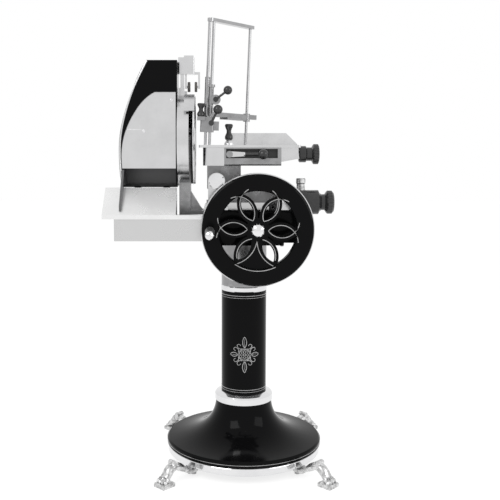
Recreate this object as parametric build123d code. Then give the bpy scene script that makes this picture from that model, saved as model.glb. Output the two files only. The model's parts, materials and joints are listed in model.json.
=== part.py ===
from build123d import *
import math
import os

os.makedirs("parts", exist_ok=True)

# A hand crank meat slicer on its pedestal. Millimetres, +Z up, origin on the floor under the
# column's axis. The flywheel faces -Y, the slice tray is at -X and the feed knobs are at +X.

# ---- clearances -------------------------------------------------------------------------------
FIT = 0.1           # round piece in a round seat, both fixed
RUN = 0.05          # shaft in its bush, radially
GAP = 0.3           # between pieces that pass each other
OVER = 1.0          # how far a cut or a joined solid runs on

# ---- stand ------------------------------------------------------------------------------------
FOOT_R = 347.0      # centre of a paw from the column's axis
PLINTH = (46.0, 44.0, 13.0)
PAD_R = (228.0, 262.0)
PAD_Z = 18.0
PAD_HALF = 20.0
RING_R = 247.0
RING_IN_R = 222.0
RING_Z = 28.0
RING_H = 26.0
BELL_R = 250.0
BELL_LIP_H = 19.0
BELL_TOP_R = 90.0
BELL_H = 142.0
BELL_WALL = 8.0
COLLAR_R = 94.0
COLLAR_H = 23.0
COLUMN_R = 72.5
COLUMN_WALL = 6.0
COLUMN_L = 360.0
FLANGE_T = 12.0
FLANGE_IN_R = 38.0
UPPER_COLLAR_R = 74.5
UPPER_COLLAR_H = 16.0
HEAD_L = 140.0
BOLT_R = 5.0
BOLT_L = 22.0
BOLT_HEAD = (9.0, 7.0)
BOLT_CIRCLE_R = 53.0
FOOT_BOLT_R = 237.0
FOOT_BOLT_HALF = 10.5

BELL_Z = RING_Z + RING_H
COLUMN_Z = BELL_Z + BELL_H
COLUMN_TOP_Z = COLUMN_Z + COLUMN_L
HEAD_Z = COLUMN_TOP_Z + UPPER_COLLAR_H
HEAD_TOP_Z = HEAD_Z + HEAD_L

# ---- machine base -----------------------------------------------------------------------------
PLATE_T = 12.0
PLATE_X = (-110.0, 120.0)
PLATE_Y = (-120.0, 170.0)
BASE_X = (-130.0, 170.0)
BASE_Y = (-150.0, 200.0)
BASE_H = 100.0
BASE_WALL = 12.0
BASE_ROOF = 10.0
BASE_FLOOR = 8.0
BASE_CORNER_R = 26.0
BASE_EDGE_R = 8.0
HATCH_MARGIN = 14.0
SCREW_R = 3.0
SCREW_L = 18.0
SCREW_HEAD = (5.5, 3.0)
BASE_Z = HEAD_TOP_Z + PLATE_T
BASE_TOP_Z = BASE_Z + BASE_H
ROOF_Z = BASE_TOP_Z - BASE_ROOF
ARM_X = (-345.0, -126.0)
ARM_Y = (-75.7, -40.0)
ARM_Z = (BASE_TOP_Z - 54, BASE_TOP_Z - 24)
ARM_PILLARS_X = (-335.0, -245.0)

# ---- drive ------------------------------------------------------------------------------------
WHEEL_X = 32.0
DRIVE_Z = BASE_TOP_Z - 53
CROSS_Y = 20.0      # cross shaft and rocker pivot
GEAR_MODULE = 3.0
GEAR_TEETH = 24
PINION_TEETH = 12
GEAR_FACE = 12.0
WHEEL_SHAFT_R = 14.0
GEAR_SEAT_R = 10.0
CROSS_R = 10.0
WHEEL_BUSH_R = 18.0
WHEEL_BUSH_L = 24.0
WHEEL_BUSH_Y = (-166.0, -60.0)
WHEEL_BOSS_R = 32.0
CROSS_BUSH_R = 14.0
CROSS_BUSH_L = 10.0
CROSS_BUSH_X = (-130.0, -38.0)
CRANK_R = 21.5
CRANK_DISC_R = 28.0
CRANK_X = (71.5, 78.0)
CRANK_PIN_R = 4.0
ROCKER_X = (81.0, 92.0)
ROCKER_PIVOT_Z = BASE_TOP_Z - 88
ROCKER_L = 140.0
ROCKER_HALF = 6.0
ROCKER_PIN_R = 6.0
ROLLER_R = 12.0
FORK_HALF = 16.5
FORK_FLARE = 32.0
FORK_TOP_Z = BASE_TOP_Z + 68
ROOF_SLOT_HALF = 86.0
CHAIN_PITCH = 9.525
CHAIN_TEETH = 18
CHAIN_LINKS = 74
CHAIN_X = -190.0
CHAIN_W = 5.6
CHAIN_SIDE = 1.2
CHAIN_BAND = 3.6
CHAIN_ROLLER_R = 3.1
CHAIN_RUN = (CHAIN_LINKS - CHAIN_TEETH) * CHAIN_PITCH / 2
KNIFE_Z = DRIVE_Z + CHAIN_RUN
KNIFE_Y = CROSS_Y
SPROCKET_R = CHAIN_PITCH / (2 * math.sin(math.pi / CHAIN_TEETH))

# ---- flywheel and handle ----------------------------------------------------------------------
WHEEL_R = 168.0
WHEEL_FACE_Y = -235.0
RIM_W = 34.0
RIM_IN_R = 117.0
WEB_T = 14.0
WEB_SET_BACK = 6.0
HUB_R = 30.0
HUB_BACK = 63.0     # face to the back of the hub
HUB_CAP_R = 20.0
HUB_CAP_H = 11.0
PETALS = 6
PETAL_TURN = -3.5   # degrees
PETAL_HOLE = (35.0, 106.0, 14.0)    # inner radius, outer radius, half width
PETAL_HOOP = (16.0, 122.0, 27.0)
HANDLE_R = 141.0    # pin's distance from the wheel's axis
HANDLE_L = 137.0
HANDLE_PIN_R = 6.0
GRIP_R = 14.5
HANDLE_CAP_R = 12.5

# ---- knife and its housing --------------------------------------------------------------------
KNIFE_R = 145.0
KNIFE_X = (-170.0, -162.0)
KNIFE_CAP_R = 40.0
KNIFE_CAP_T = 4.0
DRUM_R = 142.0
DRUM_WALL = 4.0
DRUM_X = (-211.0, -175.0)
SIDE_T = 3.0
POST_X = (-205.0, -172.0)
POST_HALF = 40.0
POST_WALL = 4.0
CHAMBER_X = -182.0
POST_FOOT_Y = (-28.0, 68.0)
POST_FOOT_Z = (BASE_TOP_Z - 89, BASE_TOP_Z - 12)
GUARD_R = (148.0, 153.0)
GUARD_X = (-190.0, -183.0, -158.0)

# ---- slice side -------------------------------------------------------------------------------
TRAY_X = (-435.0, -131.0)
INCLINE_END_X = -212.0
SKIRT_X = -399.0
TRAY_Y = (-176.0, -80.0)
SKIRT_Y = -170.0
LIP_Z = BASE_TOP_Z - 13
INCLINE_Z = BASE_TOP_Z + 65
SKIRT_Z = BASE_TOP_Z - 93
LIP_H = 13.0
SHEET_T = 2.0
HOOD_Y = (-75.0, 60.0)
HOOD_T = 5.0
HOOD_X = -211.0
HOOD_Z = (BASE_TOP_Z + 66, BASE_TOP_Z + 458)
FACE_TOP_Z = BASE_TOP_Z + 360
DEFLECTOR_LOW_Z = BASE_TOP_Z + 124

# ---- carriage ---------------------------------------------------------------------------------
LEFT_RAIL = (-89.0, BASE_TOP_Z + 87)
LEFT_RAIL_R = 13.0
RAIL_COLLAR_R = 24.0
RIGHT_RAIL = (114.0, BASE_TOP_Z + 34)
RIGHT_RAIL_R = 11.0
RAIL_Y = (-148.0, 194.0)
BRACKET_FRONT_Y = (-146.0, -124.0)
BRACKET_REAR_Y = (166.0, 190.0)
SADDLE_Y = (-28.0, 68.0)
SADDLE_LOW = (-62.0, 132.0, BASE_TOP_Z + 14, BASE_TOP_Z + 62)
SADDLE_PILLAR = (-119.0, -12.0, BASE_TOP_Z + 56)
BED_X = (-66.0, 108.0)
END_X = -131.0
BED_Y = (-130.0, 110.0)
BED_Z = (BASE_TOP_Z + 134, BASE_TOP_Z + 188.7)
BED_FLOOR = 8.0
END_ROUND_R = 33.0
TABLE_X = (-143.0, 168.0)
TABLE_Y = (-125.0, 110.0)
TABLE_Z = (BASE_TOP_Z + 189, BASE_TOP_Z + 197)
RUNNERS_Y = (-80.0, 70.0)
RUNNER = (14.0, 8.0)
FENCE_Y = 67.0
FENCE_T = 6.0
FENCE_X = (-44.0, 139.0, 176.0)
FENCE_TOP_Z = TABLE_Z[1] + 39
FEED_Y = -20.0
FEED_Z = TABLE_Z[0] - 21
FEED_SCREW_R = 9.0
KNOB_START_X = 171.0
TABLE_KNOB = (-50.0, -20.0)
TABLE_STUD_H = 16.0

# ---- release lever ----------------------------------------------------------------------------
LEVER_X = -50.0
LEVER_Z = TABLE_Z[0] - 20
LEVER_Y = (-142.0, -136.0)
LEVER_BALL = (52.0, -150.0, 15.4)

# ---- press ------------------------------------------------------------------------------------
LEAN = 2.2          # degrees towards +X
LEFT_ROD = (-118.0, -70.0)
RIGHT_ROD = (5.5, 60.0)
TWIN_HALF = 6.5
ROD_R = 4.5
TOP_Z = TABLE_Z[1] + 384
TOP_BAR = (22.0, 10.0)
HEAD_BLOCK_Z = (TABLE_Z[1] + 35, TABLE_Z[1] + 82)
HEAD_ARM_Z = (TABLE_Z[1] + 84, TABLE_Z[1] + 99)
UPPER_HUB = (-97.0, TABLE_Z[1] + 136)
UPPER_BALL = (-61.0, TABLE_Z[1] + 165)
LOWER_HUB = (-108.0, TABLE_Z[1] + 63)
LOWER_BALL = (-89.0, TABLE_Z[1] + 105)
PRESS_KNOB = (-141.0, -92.0)

# ---- thickness setting ------------------------------------------------------------------------
DIAL_Y = -60.0
DIAL_Z = BASE_TOP_Z + 18
DIAL_BLOCK = (140.0, 191.0, -95.0, -25.0, BASE_TOP_Z + 56)
PLUNGER_X = 175.0
SPINDLE_R = 8.0

# ---- sharpener --------------------------------------------------------------------------------
SHARPENER_Z = (BASE_TOP_Z + 421, BASE_TOP_Z + 473)
SHARPENER_POST = (-198.0, 8.0)
STONE_R = 16.0
STONE_Z = BASE_TOP_Z + 382
GRIND_X = (-181.5, -173.0)
HONE_X = (-159.0, -151.0)


# ---- shape helpers ----------------------------------------------------------------------------
def block(x, y, z):
    """Box between the pairs of limits x, y and z."""
    size = (x[1] - x[0], y[1] - y[0], z[1] - z[0])
    centre = ((x[0] + x[1]) / 2, (y[0] + y[1]) / 2, (z[0] + z[1]) / 2)
    return Pos(*centre) * Box(*size)


def bar_x(radius, x, y, z):
    """Round bar along X between the pair of limits x."""
    return Pos((x[0] + x[1]) / 2, y, z) * Rot(0, 90, 0) * Cylinder(radius, x[1] - x[0])


def bar_y(radius, y, x, z):
    """Round bar along Y between the pair of limits y."""
    return Pos(x, (y[0] + y[1]) / 2, z) * Rot(90, 0, 0) * Cylinder(radius, y[1] - y[0])


def bar_z(radius, z, x=0.0, y=0.0):
    """Round bar along Z between the pair of limits z."""
    return Pos(x, y, (z[0] + z[1]) / 2) * Cylinder(radius, z[1] - z[0])


def bar_between(radius, start, end):
    """Round bar from one point to another."""
    run = Vector(*end) - Vector(*start)
    return extrude(Plane(origin=start, z_dir=run) * Circle(radius), run.length)


def group(pieces):
    """Separate solids kept together as one group."""
    solids = []
    for piece in pieces:
        solids += piece.solids()
    return Compound(children=solids)


def outline(points):
    """Face on the XY plane inside a closed run of points."""
    return make_face(Polyline(*points, close=True))


def in_xz(face, y):
    """Slab of an X, Z outline between the two depths y."""
    plane = Plane(origin=(0, y[1], 0), x_dir=(1, 0, 0), z_dir=(0, -1, 0))
    return extrude(plane * face, y[1] - y[0])


def in_yz(face, x):
    """Slab of a Y, Z outline between the two places x."""
    plane = Plane(origin=(x[0], 0, 0), x_dir=(0, 1, 0), z_dir=(1, 0, 0))
    return extrude(plane * face, x[1] - x[0])


def turned_z(points, x=0.0, y=0.0):
    """Turned piece on the Z line through x, y, from its radius and height points."""
    return Pos(x, y, 0) * revolve(Plane.XZ * outline(points), Axis.Z)


def turned_x(points, y, z):
    """Turned piece on the X line through y, z, from its X and radius points."""
    return Pos(0, y, z) * revolve(outline(points), Axis.X)


def turned_y(points, x, z):
    """Turned piece on the Y line through x, z, from its Y and radius points."""
    face = outline([(radius, along) for along, radius in points])
    return Pos(x, 0, z) * revolve(face, Axis.Y)


def quarter_places(radius, turn):
    """Four points evenly round a circle on the column's axis."""
    for i in range(4):
        angle = math.radians(turn + 90.0 * i)
        yield radius * math.cos(angle), radius * math.sin(angle)


def bolt(head, shank_r, shank_l):
    """Hexagon bolt standing up, its head under the origin."""
    head_r, head_h = head
    hexagon = Pos(0, 0, -head_h) * extrude(RegularPolygon(head_r, 6), head_h)
    return hexagon + bar_z(shank_r, (-OVER, shank_l))


def vesica(size, angle):
    """Pointed petal outline: inner radius, outer radius and half width, turned to an angle."""
    inner_r, outer_r, half = size
    middle = (inner_r + outer_r) / 2
    upper = ThreePointArc((inner_r, 0), (middle, half), (outer_r, 0))
    lower = ThreePointArc((outer_r, 0), (middle, -half), (inner_r, 0))
    return Rot(0, 0, angle) * make_face([upper, lower])


def lean(piece):
    """Tilt a piece of the press frame about the table's top."""
    return Pos(0, 0, TABLE_Z[1]) * Rot(0, LEAN, 0) * Pos(0, 0, -TABLE_Z[1]) * piece


def waisted(low, height, radius, waist):
    """Turning outline of a waisted knob, as radius and height points."""
    return [
        (0, low), (radius * 0.8, low), (radius, low + 0.10 * height), (radius * 0.95, low + 0.24 * height),
        (waist, low + 0.45 * height), (waist, low + 0.60 * height), (radius * 0.95, low + 0.84 * height),
        (radius, low + 0.92 * height), (radius * 0.8, low + height), (0, low + height),
    ]


def fluted(knob, radius, x, y, z):
    """Cut grip flutes round the flange of a knob that turns on X."""
    count, cut_r = 20, 2.6
    reach = radius + OVER
    cuts = []
    for i in range(count):
        angle = 2 * math.pi * i / count
        cuts.append(bar_x(cut_r, x, y + reach * math.cos(angle), z + reach * math.sin(angle)))
    return knob.cut(*cuts)


# ---- stand ------------------------------------------------------------------------------------
def paw_foot(turn):
    """Cast lion's paw on a plinth, its leg arching down from a pad under the base ring."""
    plinth = Pos(FOOT_R, 0, PLINTH[2] / 2) * Box(*PLINTH)
    plinth = chamfer(plinth.edges().group_by(Axis.Z)[-1], 2.5)
    sections = [
        (-0.01, 23.0, 18.0, 5.0, 0.0), (0.245, 33.0, 17.0, 9.0, 25.0), (0.48, 47.0, 15.5, 12.0, 12.0),
        (0.706, 50.0, 16.0, 14.0, -30.0), (0.902, 34.0, 17.0, 13.0, -42.0), (1.049, 21.0, 19.0, 12.0, -25.0),
    ]
    pad_middle = (PAD_R[0] + PAD_R[1]) / 2
    leg = FOOT_R - pad_middle
    faces = []
    for share, height, half_width, half_height, pitch in sections:
        radius = pad_middle + share * leg
        tilt = math.radians(pitch)
        along = (math.cos(tilt), 0, math.sin(tilt))
        plane = Plane(origin=(radius, 0, height), x_dir=(0, 1, 0), z_dir=along)
        faces.append(plane * Ellipse(half_width, half_height))
    foot = plinth + loft(faces)
    foot += block(PAD_R, (-PAD_HALF, PAD_HALF), (PAD_Z, RING_Z))
    for toe in (-1.5, -0.5, 0.5, 1.5):
        across = toe * 10.5
        reach = FOOT_R + 13.0 - 2.0 * abs(toe)
        foot += bar_between(5.4, (FOOT_R - 4, across * 0.8, 24.0), (reach, across, 17.0))
        foot += Pos(reach, across, 17.0) * Sphere(6.2)
    foot += Pos(pad_middle + 0.667 * leg, 0, 63.0) * Rot(90, 0, 0) * Cylinder(8.0, 27.0)
    foot -= bar_z(BELL_R + 1.5, (RING_Z, BELL_Z + 60.0))
    for side in (-1, 1):
        across = side * FOOT_BOLT_HALF
        foot -= bar_z(BOLT_R + FIT, (0.0, RING_Z + OVER), FOOT_BOLT_R, across)
        foot -= bar_z(BOLT_HEAD[0] + OVER, (0.0, PAD_Z), FOOT_BOLT_R, across)
    return Rot(0, 0, turn) * foot


def bolt_places():
    """Where each pedestal bolt's head bears, and whether the bolt points up or down."""
    for turn in (45.0, 135.0, 225.0, 315.0):
        for side in (-1, 1):
            yield Rot(0, 0, turn) * Pos(FOOT_BOLT_R, side * FOOT_BOLT_HALF, PAD_Z)
    for x, y in quarter_places(BOLT_CIRCLE_R, 45.0):
        yield Pos(x, y, COLUMN_Z - FLANGE_T)
        yield Pos(x, y, COLUMN_TOP_Z - FLANGE_T)
        yield Pos(x, y, HEAD_TOP_Z - FLANGE_T)
    for x, y in quarter_places(BOLT_CIRCLE_R, 0.0):
        yield Pos(x, y, HEAD_Z + FLANGE_T) * Rot(180, 0, 0)


def bored(piece):
    """Cut the pedestal bolts' bores from a piece."""
    hole = bar_z(BOLT_R + FIT, (-OVER, BOLT_L + FIT))
    return piece.cut(*[place * hole for place in bolt_places()])


def pedestal_bolts():
    """Identical bolts of the feet, the column's joints and the base plate."""
    return group(place * bolt(BOLT_HEAD, BOLT_R, BOLT_L) for place in bolt_places())


def base_ring():
    """Chromed ring that the bell stands on."""
    return bored(turned_z([
        (RING_IN_R, RING_Z), (RING_R - 5, RING_Z), (RING_R, RING_Z + 5),
        (RING_R, BELL_Z - 3), (RING_R - 2, BELL_Z), (RING_IN_R, BELL_Z),
    ]))


def base_bell():
    """Hollow trumpet-shaped casting from the ring up to the column."""
    top = COLUMN_Z
    start = BELL_Z + BELL_LIP_H
    rise = top - start
    inside = BELL_TOP_R - BELL_WALL
    outer = Bezier(
        (BELL_R - 5, start + 2), (BELL_R * 0.6, start + rise * 0.09),
        (BELL_TOP_R + 4, start + rise * 0.38), (BELL_TOP_R, top),
    )
    inner = Bezier(
        (inside, top - FLANGE_T), (inside + 4, start + rise * 0.33),
        (BELL_R * 0.6 - BELL_WALL, start + rise * 0.09 - BELL_WALL), (RING_IN_R + 6, start - BELL_WALL + 2),
    )
    lip = Polyline(
        (RING_IN_R + 6, start - BELL_WALL + 2), (RING_IN_R + 6, BELL_Z), (BELL_R - 2, BELL_Z),
        (BELL_R, BELL_Z + 3), (BELL_R, start - 3), (BELL_R - 5, start + 2),
    )
    cap = Polyline(
        (BELL_TOP_R, top), (FLANGE_IN_R, top), (FLANGE_IN_R, top - FLANGE_T), (inside, top - FLANGE_T),
    )
    bell = revolve(Plane.XZ * make_face([*lip.edges(), outer, *cap.edges(), inner]), Axis.Z)
    return bored(bell)


def lower_collar():
    """Chromed collar round the column's foot."""
    low = COLUMN_Z
    return turned_z([
        (COLUMN_R + FIT, low), (COLLAR_R, low), (COLLAR_R, low + COLLAR_H - 5),
        (COLLAR_R - 4, low + COLLAR_H), (COLUMN_R + 3, low + COLLAR_H + 5),
        (COLUMN_R + FIT, low + COLLAR_H + 5),
    ])


def flanged_tube(low, length):
    """Tube of the column's size with an inner bolting flange at each end."""
    wall = COLUMN_R - COLUMN_WALL
    top = low + length
    return bored(turned_z([
        (FLANGE_IN_R, low), (COLUMN_R, low), (COLUMN_R, top), (FLANGE_IN_R, top),
        (FLANGE_IN_R, top - FLANGE_T), (wall, top - FLANGE_T),
        (wall, low + FLANGE_T), (FLANGE_IN_R, low + FLANGE_T),
    ]))


def column_tube():
    """Black column."""
    return flanged_tube(COLUMN_Z, COLUMN_L)


def column_head():
    """Metallic grey head between the column and the machine."""
    return flanged_tube(HEAD_Z, HEAD_L)


def upper_collar():
    """Chromed ring clamped between column and head."""
    return bored(turned_z([
        (FLANGE_IN_R, COLUMN_TOP_Z), (UPPER_COLLAR_R - 1.5, COLUMN_TOP_Z),
        (UPPER_COLLAR_R, COLUMN_TOP_Z + 2), (UPPER_COLLAR_R, HEAD_Z - 2),
        (UPPER_COLLAR_R - 1.5, HEAD_Z), (FLANGE_IN_R, HEAD_Z),
    ]))


# ---- screws -----------------------------------------------------------------------------------
def base_screw_places():
    """Six screws up through the base plate's edge."""
    inset = 7.0
    for x in (PLATE_X[0] + inset, PLATE_X[1] - inset):
        for y in (PLATE_Y[0] + inset, (PLATE_Y[0] + PLATE_Y[1]) / 2, PLATE_Y[1] - inset):
            yield Pos(x, y, HEAD_TOP_Z)


def bed_screw_places():
    """Four screws down through the bed's floor."""
    for x in (-46.0, -24.0):
        for y in (0.0, 48.0):
            yield Pos(x, y, BED_Z[0] + BED_FLOOR) * Rot(180, 0, 0)


def screw_bored(piece, places):
    """Cut screw bores from a piece."""
    hole = bar_z(SCREW_R + FIT, (-OVER, SCREW_L + FIT))
    return piece.cut(*[place * hole for place in places])


def base_screws():
    """Identical screws of the base plate."""
    return group(place * bolt(SCREW_HEAD, SCREW_R, SCREW_L) for place in base_screw_places())


def bed_screws():
    """Identical screws that hold the bed on the saddle."""
    return group(place * bolt(SCREW_HEAD, SCREW_R, SCREW_L) for place in bed_screw_places())


# ---- machine base -----------------------------------------------------------------------------
def base_plate():
    """Plate that closes the machine base from below, with the rocker's ear and pin."""
    plate = block(PLATE_X, PLATE_Y, (HEAD_TOP_Z, BASE_Z))
    plate = fillet(plate.edges().filter_by(Axis.Z), 14.0)
    ear_x = (ROCKER_X[1] + 1, ROCKER_X[1] + 12)
    ear = block(ear_x, (CROSS_Y - 18, CROSS_Y + 18), (BASE_Z - OVER, BASE_Z + 26))
    plate += fillet(ear.edges().filter_by(Axis.X).group_by(Axis.Z)[-1], 9.0)
    plate += bar_x(ROCKER_PIN_R, (ROCKER_X[0] - 0.5, ear_x[0] + 3), CROSS_Y, ROCKER_PIVOT_Z)
    return screw_bored(bored(plate), base_screw_places())


def machine_base():
    """Enamelled hollow casting with the shaft bosses, the rocker's slot and the tray's arm."""
    casting = block(BASE_X, BASE_Y, (BASE_Z, BASE_TOP_Z))
    casting = fillet(casting.edges().filter_by(Axis.Z), BASE_CORNER_R)
    casting = fillet(casting.edges().group_by(Axis.Z)[-1], BASE_EDGE_R)
    inside_x = (BASE_X[0] + BASE_WALL, BASE_X[1] - BASE_WALL)
    inside_y = (BASE_Y[0] + BASE_WALL, BASE_Y[1] - BASE_WALL)
    inside = block(inside_x, inside_y, (BASE_Z + BASE_FLOOR, ROOF_Z))
    casting -= fillet(inside.edges().filter_by(Axis.Z), BASE_CORNER_R - BASE_WALL)
    hatch_x = (PLATE_X[0] + HATCH_MARGIN, PLATE_X[1] - HATCH_MARGIN)
    hatch_y = (PLATE_Y[0] + HATCH_MARGIN, PLATE_Y[1] - HATCH_MARGIN)
    casting -= block(hatch_x, hatch_y, (BASE_Z - OVER, BASE_Z + BASE_FLOOR + OVER))
    front, rear = WHEEL_BUSH_Y
    casting += bar_y(WHEEL_BOSS_R, (front, front + WHEEL_BUSH_L + 4), WHEEL_X, DRIVE_Z)
    hanger_y = (rear + 1, rear + WHEEL_BUSH_L - 1)
    casting += block((WHEEL_X - 24, WHEEL_X + 24), hanger_y, (DRIVE_Z - 24, ROOF_Z + OVER))
    hanger_x = (CROSS_BUSH_X[1], CROSS_BUSH_X[1] + CROSS_BUSH_L)
    casting += block(hanger_x, (CROSS_Y - 20, CROSS_Y + 20), (DRIVE_Z - 20, ROOF_Z + OVER))
    shaft_y = (front - OVER, rear + WHEEL_BUSH_L + OVER)
    casting -= bar_y(WHEEL_BUSH_R + FIT, shaft_y, WHEEL_X, DRIVE_Z)
    casting -= bar_x(CROSS_BUSH_R + FIT, (BASE_X[0] - OVER, hanger_x[1] + OVER), CROSS_Y, DRIVE_Z)
    slot_x = (ROCKER_X[0] - 3, ROCKER_X[1] + 3)
    slot_y = (CROSS_Y - ROOF_SLOT_HALF, CROSS_Y + ROOF_SLOT_HALF)
    casting -= block(slot_x, slot_y, (ROOF_Z - OVER, BASE_TOP_Z + OVER))
    casting += block(ARM_X, ARM_Y, ARM_Z)
    for x in ARM_PILLARS_X:
        casting += block((x - 10, x + 10), ARM_Y, (ARM_Z[1] - OVER, HOOD_Z[0]))
    return screw_bored(casting, base_screw_places())


def bush(radius, bore, length):
    """Plain bush standing on the origin."""
    return bar_z(radius, (0, length)) - bar_z(bore + RUN, (-OVER, length + OVER))


def shaft_bushes():
    """Bronze bushes: two of the wheel shaft, two of the cross shaft and one of the knife shaft."""
    wide = Rot(-90, 0, 0) * bush(WHEEL_BUSH_R, WHEEL_SHAFT_R, WHEEL_BUSH_L)
    small = Rot(0, 90, 0) * bush(CROSS_BUSH_R, CROSS_R, CROSS_BUSH_L)
    bushes = [Pos(WHEEL_X, y, DRIVE_Z) * wide for y in WHEEL_BUSH_Y]
    bushes += [Pos(x, CROSS_Y, DRIVE_Z) * small for x in CROSS_BUSH_X]
    return group([*bushes, Pos(CHAMBER_X, KNIFE_Y, KNIFE_Z) * small])


# ---- drive ------------------------------------------------------------------------------------
def bevel_gear_form(teeth, mate_teeth, bore, hub_r, hub_l):
    """Straight bevel gear on +Z with its cone's point at the origin."""
    pitch_r = GEAR_MODULE * teeth / 2
    cone = math.atan2(teeth, mate_teeth)
    reach = pitch_r / math.sin(cone)
    small = (reach - GEAR_FACE) / reach
    along = Vector(math.sin(cone), 0, math.cos(cone))
    outward = Vector(math.cos(cone), 0, -math.sin(cone))
    top = 0.6 * GEAR_MODULE
    root = 0.85 * GEAR_MODULE
    tip_half = 0.30 * GEAR_MODULE
    root_half = 0.80 * GEAR_MODULE

    def section(share):
        corners = []
        sunk = -root - OVER
        for height, side in ((sunk, -root_half), (top, -tip_half), (top, tip_half), (sunk, root_half)):
            point = (along * reach + outward * height) * share
            corners.append(Vector(point.X, side * share, point.Z))
        return make_face(Polyline(*corners, close=True))

    tooth = loft([section(1.0), section(small)])
    large_root = along * reach - outward * root
    small_root = large_root * small
    back = large_root.Z + 6.0
    body = turned_z([
        (bore, small_root.Z), (small_root.X, small_root.Z), (large_root.X, large_root.Z),
        (large_root.X - 2, back), (hub_r, back), (hub_r, back + hub_l), (bore, back + hub_l),
    ])
    return body.fuse(*[Rot(0, 0, 360.0 * i / teeth) * tooth for i in range(teeth)])


def bevel_gear():
    """Bevel gear on the wheel shaft."""
    gear = bevel_gear_form(GEAR_TEETH, PINION_TEETH, GEAR_SEAT_R + FIT, 20.0, 10.0)
    return Pos(WHEEL_X, CROSS_Y, DRIVE_Z) * Rot(90, 0, 0) * Rot(0, 0, 180.0 / GEAR_TEETH) * gear


def bevel_pinion():
    """Bevel pinion on the cross shaft."""
    gear = bevel_gear_form(PINION_TEETH, GEAR_TEETH, CROSS_R + FIT, 14.0, 5.0)
    return Pos(WHEEL_X, CROSS_Y, DRIVE_Z) * Rot(0, -90, 0) * gear


def wheel_shaft():
    """Shaft from the flywheel to the bevel gear, stepped down for the gear."""
    step = -16.5
    end = CROSS_Y - CROSS_R - 4.0
    return turned_y([
        (WHEEL_FACE_Y + 4, 0), (WHEEL_FACE_Y + 4, WHEEL_SHAFT_R), (step, WHEEL_SHAFT_R),
        (step, GEAR_SEAT_R), (end, GEAR_SEAT_R), (end, 0),
    ], WHEEL_X, DRIVE_Z)


def crank_shaft():
    """Cross shaft with the crank disc and pin that drive the rocker."""
    shaft = bar_x(CROSS_R, (CHAIN_X - 6, CRANK_X[0] + OVER), CROSS_Y, DRIVE_Z)
    shaft += bar_x(CRANK_DISC_R, CRANK_X, CROSS_Y, DRIVE_Z)
    return shaft + bar_x(CRANK_PIN_R, (CRANK_X[1] - OVER, ROCKER_X[0] - 1), CROSS_Y, DRIVE_Z + CRANK_R)


def sprocket(z):
    """Chain wheel on the X line at height z, its gaps cut round the rollers."""
    face = Circle(SPROCKET_R + 0.4)
    for i in range(CHAIN_TEETH):
        angle = 2 * math.pi * i / CHAIN_TEETH
        face -= Pos(SPROCKET_R * math.cos(angle), SPROCKET_R * math.sin(angle)) * Circle(CHAIN_ROLLER_R + GAP)
    half = CHAIN_W / 2 - 0.4
    wheel = in_yz(face, (CHAIN_X - half, CHAIN_X + half))
    wheel -= bar_x(CROSS_R + FIT, (CHAIN_X - 6, CHAIN_X + 6), 0, 0)
    return Pos(0, CROSS_Y, z) * wheel


def chain_path():
    """Y and Z of the rollers on the straights, those that a turning tooth would meet left out."""
    count = round(CHAIN_RUN / CHAIN_PITCH)
    for i in range(2, count - 1):
        yield SPROCKET_R, DRIVE_Z + CHAIN_PITCH * i
        yield -SPROCKET_R, DRIVE_Z + CHAIN_PITCH * i


def upright(half, x):
    """Round-ended upright slab about both chain wheels, between the two places x."""
    slot = SlotCenterToCenter(CHAIN_RUN, 2 * half, rotation=90)
    return in_yz(Pos(CROSS_Y, (KNIFE_Z + DRIVE_Z) / 2) * slot, x)


def drive_chain():
    """Roller chain from the cross shaft up to the knife, its rollers between two side bands."""
    left = CHAIN_X - CHAIN_W / 2 - CHAIN_SIDE
    right = CHAIN_X + CHAIN_W / 2
    sides = []
    for x in (left, right):
        inside = upright(SPROCKET_R - CHAIN_BAND, (x - OVER, x + CHAIN_SIDE + OVER))
        sides.append(upright(SPROCKET_R + CHAIN_BAND, (x, x + CHAIN_SIDE)) - inside)
    span = (left + CHAIN_SIDE / 2, right + CHAIN_SIDE / 2)
    rollers = [bar_x(CHAIN_ROLLER_R, span, CROSS_Y + y, z) for y, z in chain_path()]
    return sides[0].fuse(sides[1], *rollers)


def rocker_arm():
    """Slotted arm that swings the carriage, with the roller at its top."""
    top = ROCKER_PIVOT_Z + ROCKER_L
    slot_z = (DRIVE_Z - CRANK_R - 6, DRIVE_Z + CRANK_R + 6)
    arm = block(ROCKER_X, (CROSS_Y - ROCKER_HALF, CROSS_Y + ROCKER_HALF), (ROCKER_PIVOT_Z, top - 2))
    arm += block(ROCKER_X, (CROSS_Y - 11, CROSS_Y + 11), (slot_z[0] - 2, slot_z[1] + 6))
    arm += bar_x(9.5, ROCKER_X, CROSS_Y, ROCKER_PIVOT_Z)
    over_x = (ROCKER_X[0] - OVER, ROCKER_X[1] + OVER)
    slot_half = CRANK_PIN_R + GAP
    arm -= block(over_x, (CROSS_Y - slot_half, CROSS_Y + slot_half), slot_z)
    arm -= bar_x(ROCKER_PIN_R + RUN, over_x, CROSS_Y, ROCKER_PIVOT_Z)
    return arm + bar_x(ROLLER_R, ROCKER_X, CROSS_Y, top)


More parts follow.
